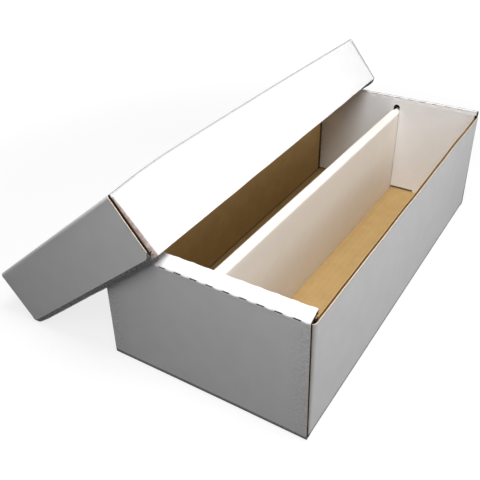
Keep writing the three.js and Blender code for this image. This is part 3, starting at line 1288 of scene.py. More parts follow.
@dataclass
class RimPanel(EndSheet):
    """The narrow rim between the two top creases, with a row of cut dashes along each.

    The bend shares say where along a bend its rows lie: a dash is cut from one row to the next,
    so the dashes of the tray's back rim are the narrower.
    """

    front_bend_shares: tuple[float, ...] = (0.0, 0.06, 0.44, 0.52, 0.64, 0.76, 0.9, 1.0)
    back_bend_shares: tuple[float, ...] = (0.0, 0.16, 0.31, 0.5, 0.64, 0.76, 0.9, 1.0)
    flat_shares: tuple[float, ...] = (0.25, 0.5, 0.75)
    sag_shares: tuple[float, ...] = (0.0, 0.5, 0.8, 1.0, 0.95, 0.8, 0.6, 0.4, 0.2)
    dash_pitch: float = 0.0143
    dash_length: float = 0.0062
    dash_offset: float = -0.003
    corner_clear: float = 0.012
    bend_radius: float = 0.0018
    inner_bend: float = 0.0004
    swell: float = 0.0006
    loose_swell_share: float = 1 / 3
    swell_step: float = 0.0018
    dip: float = 0.0011
    dent: float = 0.0004
    shade_rows: int = 2
    shade_end: float = 0.6
    lift: Waver = Waver(0.0004, (30,), 3)
    push: Waver = Waver(0.0003, (40,), 5)

    @property
    def pressed_back(self) -> bool:
        """Whether it is the tray's back rim."""
        return self.end.back and self.end.pressed

    @property
    def bend_shares(self) -> tuple[float, ...]:
        """Shares of a bend at which its rows lie."""
        return self.back_bend_shares if self.pressed_back else self.front_bend_shares

    def outline(self, s: float) -> tuple[list[Flat], list[Flat]]:
        """Up the outer crease, along the rim, and down the inner crease.

        Args:
            s: the place across the end.

        Returns:
            The outer and the inner face.
        """
        thick, bend, tight = self.gauge.thickness, self.bend_radius, self.inner_bend
        low, depth = self.blank.height_at(self.end, s), self.end.depth
        rise = self.blank.rise_at(self.end, s)
        slope = rise / depth
        legs = self.blank.rim_leg(self.end, s, self.gauge)
        under = low - thick * math.hypot(1, slope)
        outer = [(0.0, legs[0])]
        inner = [(thick, legs[0])]
        for t in self.bend_shares:
            outer.append(self.bend((0.0, low - bend), (0.0, low), (bend, low + bend * slope), t))
            inner.append((thick + tight * t, under + thick * slope - tight * (1 - t)))
        for share in self.flat_shares:
            y = bend + (depth - 2 * bend) * share
            x = thick + (depth - 2 * thick) * share
            outer.append((y, low + y * slope))
            inner.append((x, under + x * slope))
        peak, far = low + rise, depth - thick
        for step in reversed(self.bend_shares):
            t = 1.0 - step
            start = (depth - bend, low + (depth - bend) * slope)
            outer.append(self.bend(start, (depth, peak), (depth, peak - bend), t))
            inner.append((far - tight * (1 - t), under + far * slope - tight * t))
        outer.append((depth, legs[1]))
        inner.append((far, legs[1]))
        return outer, inner

    @staticmethod
    def bend(a: Flat, b: Flat, c: Flat, t: float) -> Flat:
        """A point of a bend.

        Args:
            a: where the bend starts.
            b: the corner that it is drawn towards.
            c: where it ends.
            t: the share of the way.

        Returns:
            The point.
        """
        u = 1 - t
        return (
            u * u * a[0] + 2 * u * t * b[0] + t * t * c[0],
            u * u * a[1] + 2 * u * t * b[1] + t * t * c[1],
        )

    def cut_bands(self) -> tuple[int, int]:
        """Which bands of the outer and of the inner bend the dashes are cut in."""
        return (1, 1) if self.end.pressed and not self.end.back else (3, 1)

    def rows(self) -> int:
        """The number of rows in the outline."""
        return 2 * (len(self.bend_shares) + 1) + len(self.flat_shares)

    def dashes(self) -> list[float]:
        """Places the cut dashes.

        Returns:
            Their centres.
        """
        reach = self.half() - (self.dash_length if self.end.pressed else self.corner_clear)
        count = int(reach // self.dash_pitch)
        places = [i * self.dash_pitch + self.dash_offset for i in range(-count - 1, count + 2)]
        return [x for x in places if abs(x) <= reach]

    def breaks(self) -> list[float]:
        """The cut sides and the dashes' ends."""
        ends = {round(x + k * self.dash_length, 6) for x in self.dashes() for k in (-0.5, 0.5)}
        return sorted({-self.half(), self.half()} | ends)

    def coarse(self) -> list[float]:
        """Columns that follow the swelling between dashes."""
        return self.fill(self.breaks(), self.swell_step)

    def holds(self, band: int, s: float) -> bool:
        """The dashes are cut right through the board, in bands counted from the rim's two legs.

        Args:
            band: the band of rows.
            s: the place across the end.

        Returns:
            Whether there is board.
        """
        outer, inner = self.cut_bands()
        if band - 1 == outer or self.rows() - 3 - band == inner:
            return all(abs(x - s) > self.dash_length / 2 for x in self.dashes())
        return True

    def creased(self, row: int, s: float) -> float:
        """A loose rim gets dark painted shade all over, the tray's back rim a line of it along its outer
        crease.

        Args:
            row: the row.
            s: the place across the end.

        Returns:
            The painted shade, below 0.
        """
        # Painted shade: dark over a loose rim, and a line along the tray's back rim's outer crease.
        if not self.end.pressed:
            return -1.0
        past = row - len(self.bend_shares)
        if not self.end.back or past > self.shade_rows:
            return 0.0
        return -self.shade_end if past == self.shade_rows else -1.0

    def relief(self, row: int, s: float) -> float:
        """Between dashes the board swells out at the creases.

        Args:
            row: the row.
            s: the place across the end.

        Returns:
            How far the outer face is pressed in, or out where it is below 0.
        """
        from_crease = min(row, self.rows() - 1 - row) - 1
        if not 0 <= from_crease < len(self.bend_shares):
            return 0.0
        outer_half = row < self.rows() / 2
        if self.pressed_back and row > self.rows() / 2 and from_crease < 2:
            return self.dent * (1.0 - self.between(s))
        round_off = math.sin(math.pi * self.bend_shares[from_crease])
        swell = self.swell * (1.0 if self.end.pressed and outer_half else self.loose_swell_share)
        return -swell * self.between(s) * round_off

    def between(self, s: float) -> float:
        """How far a place is from the dashes.

        Args:
            s: the place across the end.

        Returns:
            0 along a dash, rising to 1 midway to the next.
        """
        away = min(abs(x - s) for x in self.dashes()) - self.dash_length / 2
        share = away / (self.dash_pitch - self.dash_length)
        return math.sin(math.pi * min(1.0, max(0.0, share)))

    def sway(self, row: int, s: float, share: float) -> Vector:
        """The rim is pressed unevenly along its length.

        Args:
            row: the row.
            s: the place across the end.
            share: how deep in the board.

        Returns:
            The offset.
        """
        last = self.rows() - 1
        lift = self.lift.at(self.seed, s) * math.sin(math.pi * row / last)
        if self.end.pressed and row < len(self.sag_shares):
            lift -= self.dip * self.sag_shares[row] * self.between(s) * (1.0 - share)
        return Vector((0.0, self.push.at(self.seed, s) * (row / last), lift))


@dataclass
class InnerPanel(EndSheet):
    """The panel that rolls down inside, with its lock tabs and the divider's slot.

    Its rows are the top, the slot's arch, four down to the foot, and the tabs' tips.
    """

    tab_tip: float = 0.0006
    tab_bevel: float = 0.004
    slack: float = 0.000004
    leg_shares: tuple[float, ...] = (0.25, 0.5, 0.75, 1.0)
    arch_columns: int = 12
    arch_step: float = 0.015
    lean: Waver = Waver(0.0005, (14,), 9)

    def half(self) -> float:
        """Half the panel's width, clear of the side walls."""
        return self.blank.width / 2 - self.gauge.thickness - self.blank.panel_play

    def tab_band(self) -> int:
        """The band of rows between the foot and the tabs' tips."""
        return 1 + len(self.leg_shares)

    def centres(self) -> list[float]:
        """Tab centres, in the end's own frame."""
        sign = -1 if self.end.back else 1
        return sorted(sign * x for x in self.blank.tab_centres)

    def slot(self) -> Flat | None:
        """Places the divider's slot.

        Returns:
            Its two sides, in the end's own frame, or None where there is no divider.
        """
        if self.blank.slot_centres is None:
            return None
        front, back = self.blank.slot_centres
        middle = -back if self.end.back else front
        return middle - self.blank.slot_width / 2, middle + self.blank.slot_width / 2

    def breaks(self) -> list[float]:
        """The sides, the tabs with their bevels, and the slot.

        Returns:
            The places, sorted.
        """
        places = {-self.half(), self.half()}
        half = self.blank.tab_width / 2
        for x in self.centres():
            places |= {x - half, x - half + self.tab_bevel, x + half - self.tab_bevel, x + half}
        return sorted(places | set(self.slot() or ()))

    def coarse(self) -> list[float]:
        """Columns close together over the slot's round top.

        Returns:
            The places, sorted.
        """
        places = set(self.breaks())
        if self.slot():
            low, high = self.slot()
            turns = (math.cos(math.pi * i / self.arch_columns) for i in range(self.arch_columns + 1))
            places |= {(low + high) / 2 - (high - low) / 2 * turn for turn in turns}
        return self.fill(sorted(places), self.arch_step)

    def outline(self, s: float) -> tuple[list[Flat], list[Flat]]:
        """From the rim's crease down to the panel's foot and its tabs' tips.

        Args:
            s: the place across the end.

        Returns:
            The outer and the inner face.
        """
        thick, depth = self.gauge.thickness, self.end.depth
        top = self.blank.rim_leg(self.end, s, self.gauge)[1]
        foot = thick + self.blank.panel_lift
        arch = spring = (top + foot) / 2
        if self.slot():
            low, high = self.slot()
            radius = self.blank.slot_width / 2
            spring = self.blank.slot_top - radius
            off = min(radius, abs(s - (low + high) / 2))
            arch = spring + math.sqrt(max(0.0, radius * radius - off * off))
        tip = self.tab_tip
        for x in self.centres():
            bevelled = max(0.0, abs(s - x) - (self.blank.tab_width / 2 - self.tab_bevel))
            if bevelled <= self.tab_bevel + self.slack:
                tip = self.tab_tip + min(1.0, bevelled / self.tab_bevel) * self.tab_bevel / 2
        legs = [spring + (foot - spring) * share for share in self.leg_shares]
        heights = [top, arch, *legs, tip]
        return [(depth, z) for z in heights], [(depth - thick, z) for z in heights]

    def holds(self, band: int, s: float) -> bool:
        """Board is missing in the slot below its arch, and between the tabs.

        Args:
            band: the band of rows.
            s: the place across the end.

        Returns:
            Whether there is board.
        """
        if band >= 1 and self.slot() and self.slot()[0] < s < self.slot()[1]:
            return False
        if band == self.tab_band():
            return any(abs(s - x) < self.blank.tab_width / 2 for x in self.centres())
        return True

    def sway(self, row: int, s: float, share: float) -> Vector:
        """The panel leans out of true by a fraction of a millimetre."""
        bow = math.sin(math.pi * min(row, self.tab_band()) / self.tab_band())
        return Vector((0.0, bow * self.lean.at(self.seed, s), 0.0))

    def cut_sides(self) -> tuple[bool, bool, bool, bool]:
        """All but the crease at the top."""
        return True, True, False, True


@dataclass
class SideWall(Sheet):
    """The right side wall. Its bending plane holds x and y, and s is the height.

    Each end of its outline is a fold: the tip inside the end, and the arc's points.
    """

    blank: Blank
    seed: float
    fold_steps: int = 5
    fold_angle: float = 75.0
    core_least: float = 0.0001
    # Rows at each end whose inner faces get the painted shade of the hollows.
    painted_shade_rows: int = 10
    near_rows: tuple[float, ...] = (0.0012, 0.0028, 0.0042, 0.0056, 0.008, 0.013)
    middle_start: float = 0.020
    middle_step: float = 0.0125
    foot_angles: tuple[float, ...] = (0, 25, 45, 65, 90)
    face_low: float = 0.006
    face_top_gap: float = 0.03
    face_step: float = 0.014
    edge_rows: tuple[float, ...] = (0.026, 0.02, 0.014, 0.008, 0.003, 0.0)
    press_from: int = 4
    press_rows: int = 6
    foot_shade_ease_share: float = 0.55
    foot_slack: float = 0.0001
    crush_drop: float = 0.012
    crush_reach: float = 0.026
    crush_from_share: float = 0.28
    crush_ease_share: float = 0.1
    crush_end_share: float = 0.6
    calm_reach: float = 0.05
    waves: tuple[Waver, Waver] = (Waver(0.0007, (13,)), Waver(0.0006, (4,), 1))
    edge_wave: Waver = Waver(0.0003, (24,), 2)

    def breaks(self) -> list[float]:
        """From the table to the raw top edge."""
        return [0.0, self.gauge.thickness, self.blank.side_height]

    def coarse(self) -> list[float]:
        """Columns close together at the rounded foot and at the raw edge.

        Returns:
            The heights, sorted.
        """
        top = self.blank.side_height
        foot = [self.blank.crease * (1 - math.cos(math.radians(a))) for a in self.foot_angles]
        face = self.fill([self.face_low, top - self.face_top_gap], self.face_step)
        high = (top - below for below in self.edge_rows)
        return sorted({*foot, self.gauge.thickness, *face, *high})

    def run(self) -> list[float]:
        """Spaces the rows of the straight stretch, without its two ends.

        Returns:
            Their distances from the front fold.
        """
        full = self.blank.straight(self.gauge)
        middle = self.fill([self.middle_start, full - self.middle_start], self.middle_step)
        return [*self.near_rows, *middle, *(full - d for d in reversed(self.near_rows))]

    def fold_rows(self) -> int:
        """How many rows each fold has."""
        return self.fold_steps + 2

    def last_row(self) -> int:
        """The number of the last row."""
        return len(self.run()) + 2 * self.fold_rows() - 1

    def from_end(self, row: int) -> int:
        """How many rows in from the nearer end."""
        return min(row, self.last_row() - row)

    def outline(self, s: float) -> tuple[list[Flat], list[Flat]]:
        """A straight run whose ends bend round towards the flaps.

        Args:
            s: the height.

        Returns:
            The outer and the inner face.
        """
        thick, bend, loose = self.gauge.thickness, self.blank.fold_at(s), self.blank.fold_radius
        x, y = self.blank.width / 2, self.blank.length / 2 - thick - self.blank.gap
        core = max(bend - thick, self.core_least)
        turn, steps = self.fold_angle, self.fold_steps
        front, back = (x - bend, -y + bend), (x - bend, y - bend)
        outer = [(x - loose, -y), *arc(front, bend, -turn, 0, steps)]
        inner = [(x - loose, -y + thick), *arc(front, core, -turn, 0, steps)]
        for away in self.run():
            outer.append((x, -y + loose + away))
            inner.append((x - thick, -y + loose + away))
        outer += [*arc(back, bend, 0, turn, steps), (x - loose, y)]
        inner += [*arc(back, core, 0, turn, steps), (x - loose, y - thick)]
        return outer, inner

    def to_space(self, point: Flat, s: float) -> Vector:
        """The blank's own frame."""
        return Vector((point[0], point[1], s))

    def look(self, band: int, face: Face) -> Face:
        """In and beside the folds the board's inner faces get the near-black kraft: painted shade."""
        inside = not self.painted_shade_rows <= band < self.last_row() - self.painted_shade_rows
        return Face.PAINTED_HOLLOW_SHADE if inside and face in (Face.INNER, Face.MEDIUM) else face

    def relief(self, row: int, s: float) -> float:
        """The outer face rounds in at the foot's crease.

        Args:
            row: the row.
            s: the height.

        Returns:
            How far it is pressed in, in metres.
        """
        bend = self.blank.crease
        if s >= bend:
            return 0.0
        inward = (self.from_end(row) - self.press_from) / self.press_rows
        share = min(1.0, max(self.blank.corner_press, inward))
        return share * (bend - math.sqrt(max(0.0, bend * bend - (bend - s) ** 2)))

    def creased(self, row: int, s: float) -> float:
        """The liner gets a dark line of painted shade at the foot, and wear and painted shade round the
        folds.

        Args:
            row: the row.
            s: the height.

        Returns:
            The wear and painted shade, or the dark painted shade where it is below 0.
        """
        inward, reach = self.from_end(row), self.blank.foot_shade_reach
        # Painted shade: a dark line along the wall's foot.
        if s < min(reach, self.gauge.thickness + self.foot_slack):
            return -self.blank.foot_shade * min(1.0, (reach - s) / (self.foot_shade_ease_share * reach))
        # At the folds: wear and painted shade, row by row.
        wear = self.blank.fold_wear_and_shade if row == inward else self.blank.far_fold_wear_and_shade
        return wear[inward] if inward < len(wear) else 0.0

    def crushed(self, inward: int, s: float, share: float) -> float:
        """How far the core is pressed down at a fold's free end.

        Args:
            inward: how many rows in from the nearer end.
            s: the height.
            share: how deep in the board.

        Returns:
            The drop, in metres.
        """
        folds = self.fold_rows()
        crush = 1.0 if inward < folds else self.crush_end_share if inward == folds else 0.0
        deep = min(1.0, max(0.0, (share - self.crush_from_share) / self.crush_ease_share))
        high = max(0.0, (s - self.blank.side_height + self.crush_reach) / self.crush_reach)
        return self.crush_drop * crush * deep * high

    def sway(self, row: int, s: float, share: float) -> Vector:
        """The free top edge wanders, the wall bows, and the core is crushed down at the folds.

        Args:
            row: the row.
            s: the height.
            share: how deep in the board.

        Returns:
            The offset.
        """
        blank, inward, first = self.blank, self.from_end(row), self.fold_rows() - 1
        straight = blank.straight(self.gauge)
        places = [0.0, *self.run(), straight]
        along = places[min(max(row - first, 0), len(places) - 1)] - straight / 2
        rise = s / blank.side_height
        slant = blank.edge_slant * blank.front_share(along, self.gauge) * rise
        drop = self.crushed(inward, s, share) + slant
        if inward <= first:
            return Vector((0.0, 0.0, -drop))
        calm = min(1.0, places[inward - first] / self.calm_reach)
        run = row / self.last_row()
        x = sum(wave.at(self.seed, run) for wave in self.waves) * rise * rise * calm
        z = self.edge_wave.at(self.seed, run) * rise ** 6 * calm
        bow = blank.bow_at(along, self.gauge) * (1.0 - rise)
        return Vector((x - blank.bow_in_share * bow, 0.0, z - drop - blank.bow_down_share * bow))

    def cut_sides(self) -> tuple[bool, bool, bool, bool]:
        """Only the top is a raw edge."""
        return False, True, False, False


@dataclass
class TuckFlap(Sheet):
    """A flap folded in from the right side wall, in the end's own frame."""

    blank: Blank
    drop: float = 0.013
    bevel: float = 0.012
    parts: int = 5

    def breaks(self) -> list[float]:
        """Its heights, with the bevels.

        Returns:
            The places, sorted.
        """
        low = self.gauge.thickness + self.blank.gap
        high = self.blank.side_height - self.drop
        return [low, low + self.bevel, high - self.bevel, high]

    def outline(self, s: float) -> tuple[list[Flat], list[Flat]]:
        """From the wall's bend to the tip, shortened at the bevels.

        Args:
            s: the height.

        Returns:
            The outer and the inner face.
        """
        low_bevel, high_bevel = self.breaks()[1:3]
        short = max(0.0, low_bevel - s, s - high_bevel)
        root = self.blank.width / 2 - self.blank.fold_at(s)
        tip = self.blank.flap_tip + short
        thick, y = self.gauge.thickness, self.gauge.thickness + self.blank.gap
        runs = [root + (tip - root) * k / self.parts for k in range(self.parts + 1)]
        return [(x, y) for x in runs], [(x, y + thick) for x in runs]

    def to_space(self, point: Flat, s: float) -> Vector:
        """The end's own frame."""
        return Vector((point[0], point[1], s))

    def look(self, band: int, face: Face) -> Face:
        """The flap stands inside a closed end, and its inner faces get the near-black kraft: painted shade.
        """
        return Face.PAINTED_HOLLOW_SHADE if face in (Face.INNER, Face.MEDIUM) else face

    def cut_sides(self) -> tuple[bool, bool, bool, bool]:
        """All but the fold."""
        return True, True, False, True


@dataclass
class BasePanel(Sheet):
    """The tray's floor or the lid's top, with the slots for the lock tabs."""

    blank: Blank
    clearance: float = 0.0004
    parts: int = 12

    def half(self) -> float:
        """Half its width, between the side walls."""
        return self.blank.width / 2 - self.gauge.thickness

    def slots(self) -> list[Flat]:
        """The two sides of each tab slot."""
        reach = self.blank.tab_width / 2 + self.clearance
        return [(x - reach, x + reach) for x in self.blank.tab_centres]

    def breaks(self) -> list[float]:
        """The sides and the slots' sides."""
        return sorted({-self.half(), self.half(), *(x for pair in self.slots() for x in pair)})

    def outline(self, s: float) -> tuple[list[Flat], list[Flat]]:
        """Level from the front end to the back end, with a slot's two sides near each end.

        Args:
            s: the place across the blank.

        Returns:
            The outer and the inner face.
        """
        thick = self.gauge.thickness
        half = self.blank.length / 2 - thick
        front, back = self.blank.ends
        near = -self.blank.length / 2 + front.depth
        far = self.blank.length / 2 - back.depth
        runs = [
            -half,
            near - thick - self.clearance,
            near + self.clearance,
            *(near + (far - near) * k / self.parts for k in range(1, self.parts)),
            far - self.clearance,
            far + thick + self.clearance,
            half,
        ]
        return [(y, 0.0) for y in runs], [(y, thick) for y in runs]

    def to_space(self, point: Flat, s: float) -> Vector:
        """The blank's own frame, bent with the creases at its sides.

        Args:
            point: y and z.
            s: x.

        Returns:
            The point. Each side follows its own wall, and the left wall is a right one turned round.
        """
        side = s / self.half()
        bow = self.blank.bow_at(math.copysign(point[0], s * point[0]), self.gauge) * side * side
        inward = math.copysign(self.blank.bow_in_share * bow, s)
        return Vector((s - inward, point[0], point[1] - self.blank.bow_down_share * bow))

    def holds(self, band: int, s: float) -> bool:
        """Board is missing in the tab slots."""
        return not (band in (1, self.parts + 2) and any(low < s < high for low, high in self.slots()))

    def cut_sides(self) -> tuple[bool, bool, bool, bool]:
        """No raw edge shows."""
        return False, False, False, False


@dataclass(frozen=True)
class DividerForm:
    """Sizes of the folded divider, in metres, and how far askew it stands, in degrees.

    Attributes:
        width: across both leaves.
        height: of the crown's top above the table.
        shift: of its middle to the right of the box's.
        skew: how far it is turned from the box's line.
        shoulder: radius of the crown's shoulders.
        crown_drop: from the crown's top to where the leaves begin.
        ear_width: across the ears, which are pinched to fit their slots.
        ear_shoulder: radius of the ears' shoulders.
        taper: length over which the body narrows to an ear.
        front: the front ear's end.
        back: the back ear's end.
        body_front: the body's front end.
        body_back: the body's back end.
        foot: of the leaves' feet above the table.
    """

    width: float = 0.0109
    height: float = 0.1056
    shift: float = 0.0006
    skew: float = 0.67
    shoulder: float = 0.0026
    crown_drop: float = 0.009
    ear_width: float = 0.0068
    ear_shoulder: float = 0.003
    taper: float = 0.006
    front: float = -0.2023
    back: float = 0.2023
    body_front: float = -0.1937
    body_back: float = 0.1957
    foot: float = 0.0033

    def at(self, s: float) -> Flat:
        """Width and shoulder radius at a place along the divider.

        Args:
            s: the place along the box.

        Returns:
            The width and the radius.
        """
        inside = min(s - self.body_front, self.body_back - s)
        share = min(1.0, max(0.0, inside / self.taper))
        width = self.ear_width + (self.width - self.ear_width) * share
        return width, self.ear_shoulder + (self.shoulder - self.ear_shoulder) * share

    def middle_at(self, y: float) -> float:
        """Where the divider's middle plane crosses a line along the box."""
        return self.shift + y * math.tan(math.radians(self.skew))

    def placement(self) -> Matrix:
        """The matrix from the divider's frame to the object's frame."""
        turn = Matrix.Rotation(math.radians(-self.skew), 4, "Z")
        return Matrix.Translation((self.shift, 0.0, 0.0)) @ turn


@dataclass
class DividerSheet(Sheet):
    """A panel of the divider. Its bending plane holds x and z, and s runs along the box."""

    form: DividerForm

    def breaks(self) -> list[float]:
        """The ears' ends and the tapers."""
        f = self.form
        return [f.front, f.body_front, f.body_front + f.taper, f.body_back - f.taper, f.body_back, f.back]

    def look(self, band: int, face: Face) -> Face:
        """The divider's white liner gets a warmer, brighter tint: painted warm bounce light."""
        return Face.DIVIDER if face is Face.OUTER else face

    def to_space(self, point: Flat, s: float) -> Vector:
        """The divider's frame."""
        return Vector((point[0], s, point[1]))


@dataclass
class DividerLeaf(DividerSheet):
    """One upright leaf: side is 1 for the right one and -1 for the left."""

    side: int = 1
    parts: int = 6
    seed: float = 4.0
    belly: Waver = Waver(0.0004, (9,))

    def outline(self, s: float) -> tuple[list[Flat], list[Flat]]:
        """Straight down from the crown.

        Args:
            s: the place along the box.

        Returns:
            The outer and the inner face.
        """
        half = self.form.at(s)[0] / 2
        top = self.form.height - self.form.crown_drop
        heights = [top + (self.form.foot - top) * k / self.parts for k in range(self.parts + 1)]
        inside = half - self.gauge.thickness
        return [(self.side * half, z) for z in heights], [(self.side * inside, z) for z in heights]

    def sway(self, row: int, s: float, share: float) -> Vector:
        """The leaf bows a little."""
        bow = math.sin(math.pi * row / self.parts)
        return Vector((self.side * bow * self.belly.at(self.side * self.seed, s), 0.0, 0.0))

    def cut_sides(self) -> tuple[bool, bool, bool, bool]:
        """The ears' ends and the foot."""
        return True, True, False, True


@dataclass
class DividerCrown(DividerSheet):
    """The fold over the top, with its round shoulders."""

    shoulder_steps: int = 5
    curl_steps: int = 4
    curl: float = 0.0004
    curl_share: float = 0.8
    seed: float = 2.0
    crest: Waver = Waver(0.00025, (20,))

    def outline(self, s: float) -> tuple[list[Flat], list[Flat]]:
        """Up the left, over and down the right.

        Args:
            s: the place along the box.

        Returns:
            The outer and the inner face.
        """
        width, bend = self.form.at(s)
        half, top, under = width / 2, self.form.height, self.form.height - self.gauge.thickness
        low, steps = top - self.form.crown_drop, self.shoulder_steps
        outer = [(-half, low), *arc((-half + bend, top - bend), bend, 180, 90, steps)]
        outer += [*arc((half - bend, top - bend), bend, 90, 0, steps), (half, low)]
        deep = half - self.gauge.thickness
        curl = min(self.curl, deep * self.curl_share)
        left = [(-deep, low), (-deep, under - 2 * curl)]
        left += arc((-deep + curl, under - curl), curl, 180, 90, self.curl_steps)
        return outer, left + [(-x, z) for x, z in reversed(left)]

    def sway(self, row: int, s: float, share: float) -> Vector:
        """The crown's top isn't quite even."""
        last = 2 * self.shoulder_steps + 3
        return Vector((0.0, 0.0, self.crest.at(self.seed, s) * math.sin(math.pi * row / last)))


# Sub-assemblies


@dataclass
class BoardMaker:
    """Turns sheets into dressed pieces of the object."""

    finishes: BoardFinishes
    gauge: Gauge

    def make(self, sheet: Sheet, node: str, body: str, slot: str) -> None:
        """Builds one panel in place of its plain solid.

        Args:
            sheet: the panel.
            node: the name of the solid that it stands for.
            body: the body that it rides on.
            slot: the record's material slot; not used.
        """
        piece = BoardMesh(sheet).build(f"{node}_board")
        self.finishes.dress(piece)
        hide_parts(node)
        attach(piece, body)
        log.info("%s: %d faces", node, len(piece.data.polygons))


@dataclass
class FoldedBlank:
    """A tray or a lid: a base, two side walls and two roll-over ends.

    The seed steps keep the unevenness of one panel apart from the next one's.
    """

    blank: Blank
    maker: BoardMaker
    placement: Matrix = field(default_factory=lambda: Matrix.Identity(4))
    seed: float = 1.0
    left_seed_step: float = 20
    front_seed_step: float = 5
    back_seed_step: float = 11

    def build(self) -> None:
        """Builds every panel of the blank. The left wall is a right wall turned by half a turn."""
        body, gauge, half_turn = self.blank.name, self.maker.gauge, Matrix.Rotation(math.pi, 4, "Z")
        base = BasePanel(gauge, self.placement, self.blank)
        self.maker.make(base, f"{body}_{self.blank.base_name}", body, self.blank.base_slot.value)
        for side, at, step in (
            ("right", self.placement, 0),
            ("left", self.placement @ half_turn, self.left_seed_step),
        ):
            wall = SideWall(gauge, at, self.blank, self.seed + step)
            self.maker.make(wall, f"{body}_{side}_wall", body, BoardSlot.WHITE.value)
        for end in self.blank.ends:
            self.build_end(end)

    def build_end(self, end: RolledEnd) -> None:
        """Builds one roll-over end and its two flaps.

        The second flap is the first turned by half a turn about its own middle plane.

        Args:
            end: the end.
        """
        body, gauge, half = self.blank.name, self.maker.gauge, self.blank.length / 2
        turn = Matrix.Rotation(math.pi if end.back else 0.0, 4, "Z")
        shift = Matrix.Translation((0.0, half if end.back else -half, 0.0))
        at = self.placement @ shift @ turn
        name = f"{body}_{end.place.value}"
        seed = self.seed + (self.back_seed_step if end.back else self.front_seed_step)
        for kind, part in ((OuterPanel, "outer"), (RimPanel, "rim"), (InnerPanel, "inner")):
            panel = kind(gauge, at, self.blank, end, seed)
            self.maker.make(panel, f"{name}_end_{part}", body, BoardSlot.WHITE.value)
        across = Matrix.Translation((0.0, 3 * gauge.thickness + 2 * self.blank.gap, 0.0))
        turned = at @ across @ Matrix.Rotation(math.pi, 4, "Z")
        sides = ("left", "right") if end.back else ("right", "left")
        for side, where in zip(sides, (at, turned)):
            flap = TuckFlap(gauge, where, self.blank)
            self.maker.make(flap, f"{name}_{side}_flap", body, BoardSlot.KRAFT.value)


@dataclass
class Divider:
    """The folded divider between the two rows."""

    maker: BoardMaker
    form: DividerForm

    def build(self) -> None:
        """Builds the crown and the two leaves."""
        gauge, here = self.maker.gauge, self.form.placement()
        crown = DividerCrown(gauge, here, self.form)
        self.maker.make(crown, "divider_crown", "divider", BoardSlot.WHITE.value)
        for side, name in ((-1, "left"), (1, "right")):
            leaf = DividerLeaf(gauge, here, self.form, side)
            self.maker.make(leaf, f"divider_{name}_leaf", "divider", BoardSlot.WHITE.value)


def tray_blank(gauge: Gauge, form: DividerForm) -> Blank:
    """The tray's sizes.

    Args:
        gauge: the board.
        form: the divider, which its slots and its lock tabs' places follow.

    Returns:
        The blank.
    """
    width, length = 0.190, 0.412
    front = RolledEnd(End.FRONT, 0.012, 0.005, 0.0019)
    back = RolledEnd(End.BACK, 0.010, 0.003, 0.0019)
    row_middle = (width / 2 - gauge.thickness + form.width / 2) / 2
    panel_middle = gauge.thickness / 2
    return Blank(
        name="tray",
        base_name="floor",
        base_slot=BoardSlot.KRAFT,
        width=width,
        length=length,
        side_height=0.114,
        end_height=0.118,
        tab_centres=(-row_middle + form.shift / 2, row_middle + form.shift / 2),
        tab_width=0.028,
        flap_tip=0.0164,
        ends=(front, back),
        slot_centres=(
            form.middle_at(-length / 2 + front.depth - panel_middle),
            form.middle_at(length / 2 - back.depth + panel_middle),
        ),
    )


def lid_blank() -> Blank:
    """The lid's sizes."""
    return Blank(
        name="lid",
        base_name="top",
        base_slot=BoardSlot.WHITE,
        width=0.202,
        length=0.4318,
        side_height=0.0566,
        end_height=0.0576,
        tab_centres=(0.0,),
        tab_width=0.050,
        flap_tip=0.010,
        fold_tight=0.0012,
        fold_easing=1.0,
        # The lid's near folds: dark lines of painted shade; its far folds: a grey line of painted shade in
        # the wear colour.
        fold_wear_and_shade=(-0.95, -0.95, -0.95, -0.95, -0.95, -0.9, -0.75, -0.25),
        far_fold_wear_and_shade=(1.0, 1.0, 1.0, 1.0, 1.0, 1.0, 0.3, 0.0),
        crease_bow=0.006,
        edge_slant=0.0026,
        corner_press=0.8,
        # Lighter painted shade at the lid's side-wall feet, none at its ends' feet.
        foot_shade=0.5,
        foot_shade_reach=0.0026,
        panel_foot_shade=0.0,
        foot_flare=0.0005,
        corner_round=0.006,
        corner_drop=0.0035,
        ends=(
            RolledEnd(End.FRONT, 0.0096, 0.0026, 0.0009, pressed=False),
            RolledEnd(End.BACK, 0.0096, 0.0, 0.0034, pressed=False),
        ),
    )


@dataclass(frozen=True)
class LidRest:
    """How the turned-over lid leans on the table beside the tray, in metres.

    Attributes:
        table_gap: from the table to its lower rim.
        rim_clearance: from the tray's front rim to the lid's upper edge.
        overlap: how far its upper edge reaches over the tray.
    """

    table_gap: float = 0.0003
    rim_clearance: float = 0.007
    overlap: float = 0.0646

    def placement(self, lid: Blank, tray: Blank) -> Matrix:
        """Where the lid lies, tipped about its lower left rim.

        Args:
            lid: the lid.
            tray: the tray.

        Returns:
            The matrix from the lid's own frame to the object's frame.
        """
        rim = tray.end_height + tray.ends[0].rise
        tilt = math.asin((rim + self.rim_clearance - self.table_gap) / lid.width)
        half_turn = Matrix.Rotation(math.pi, 4, "Y")
        over = Matrix.Translation((lid.width / 2, 0.0, lid.end_height)) @ half_turn
        low_edge = self.overlap - tray.width / 2 - lid.width * math.cos(tilt)
        at = Matrix.Translation((low_edge, 0.0, self.table_gap))
        return at @ Matrix.Rotation(-tilt, 4, "Y") @ over


# Studio


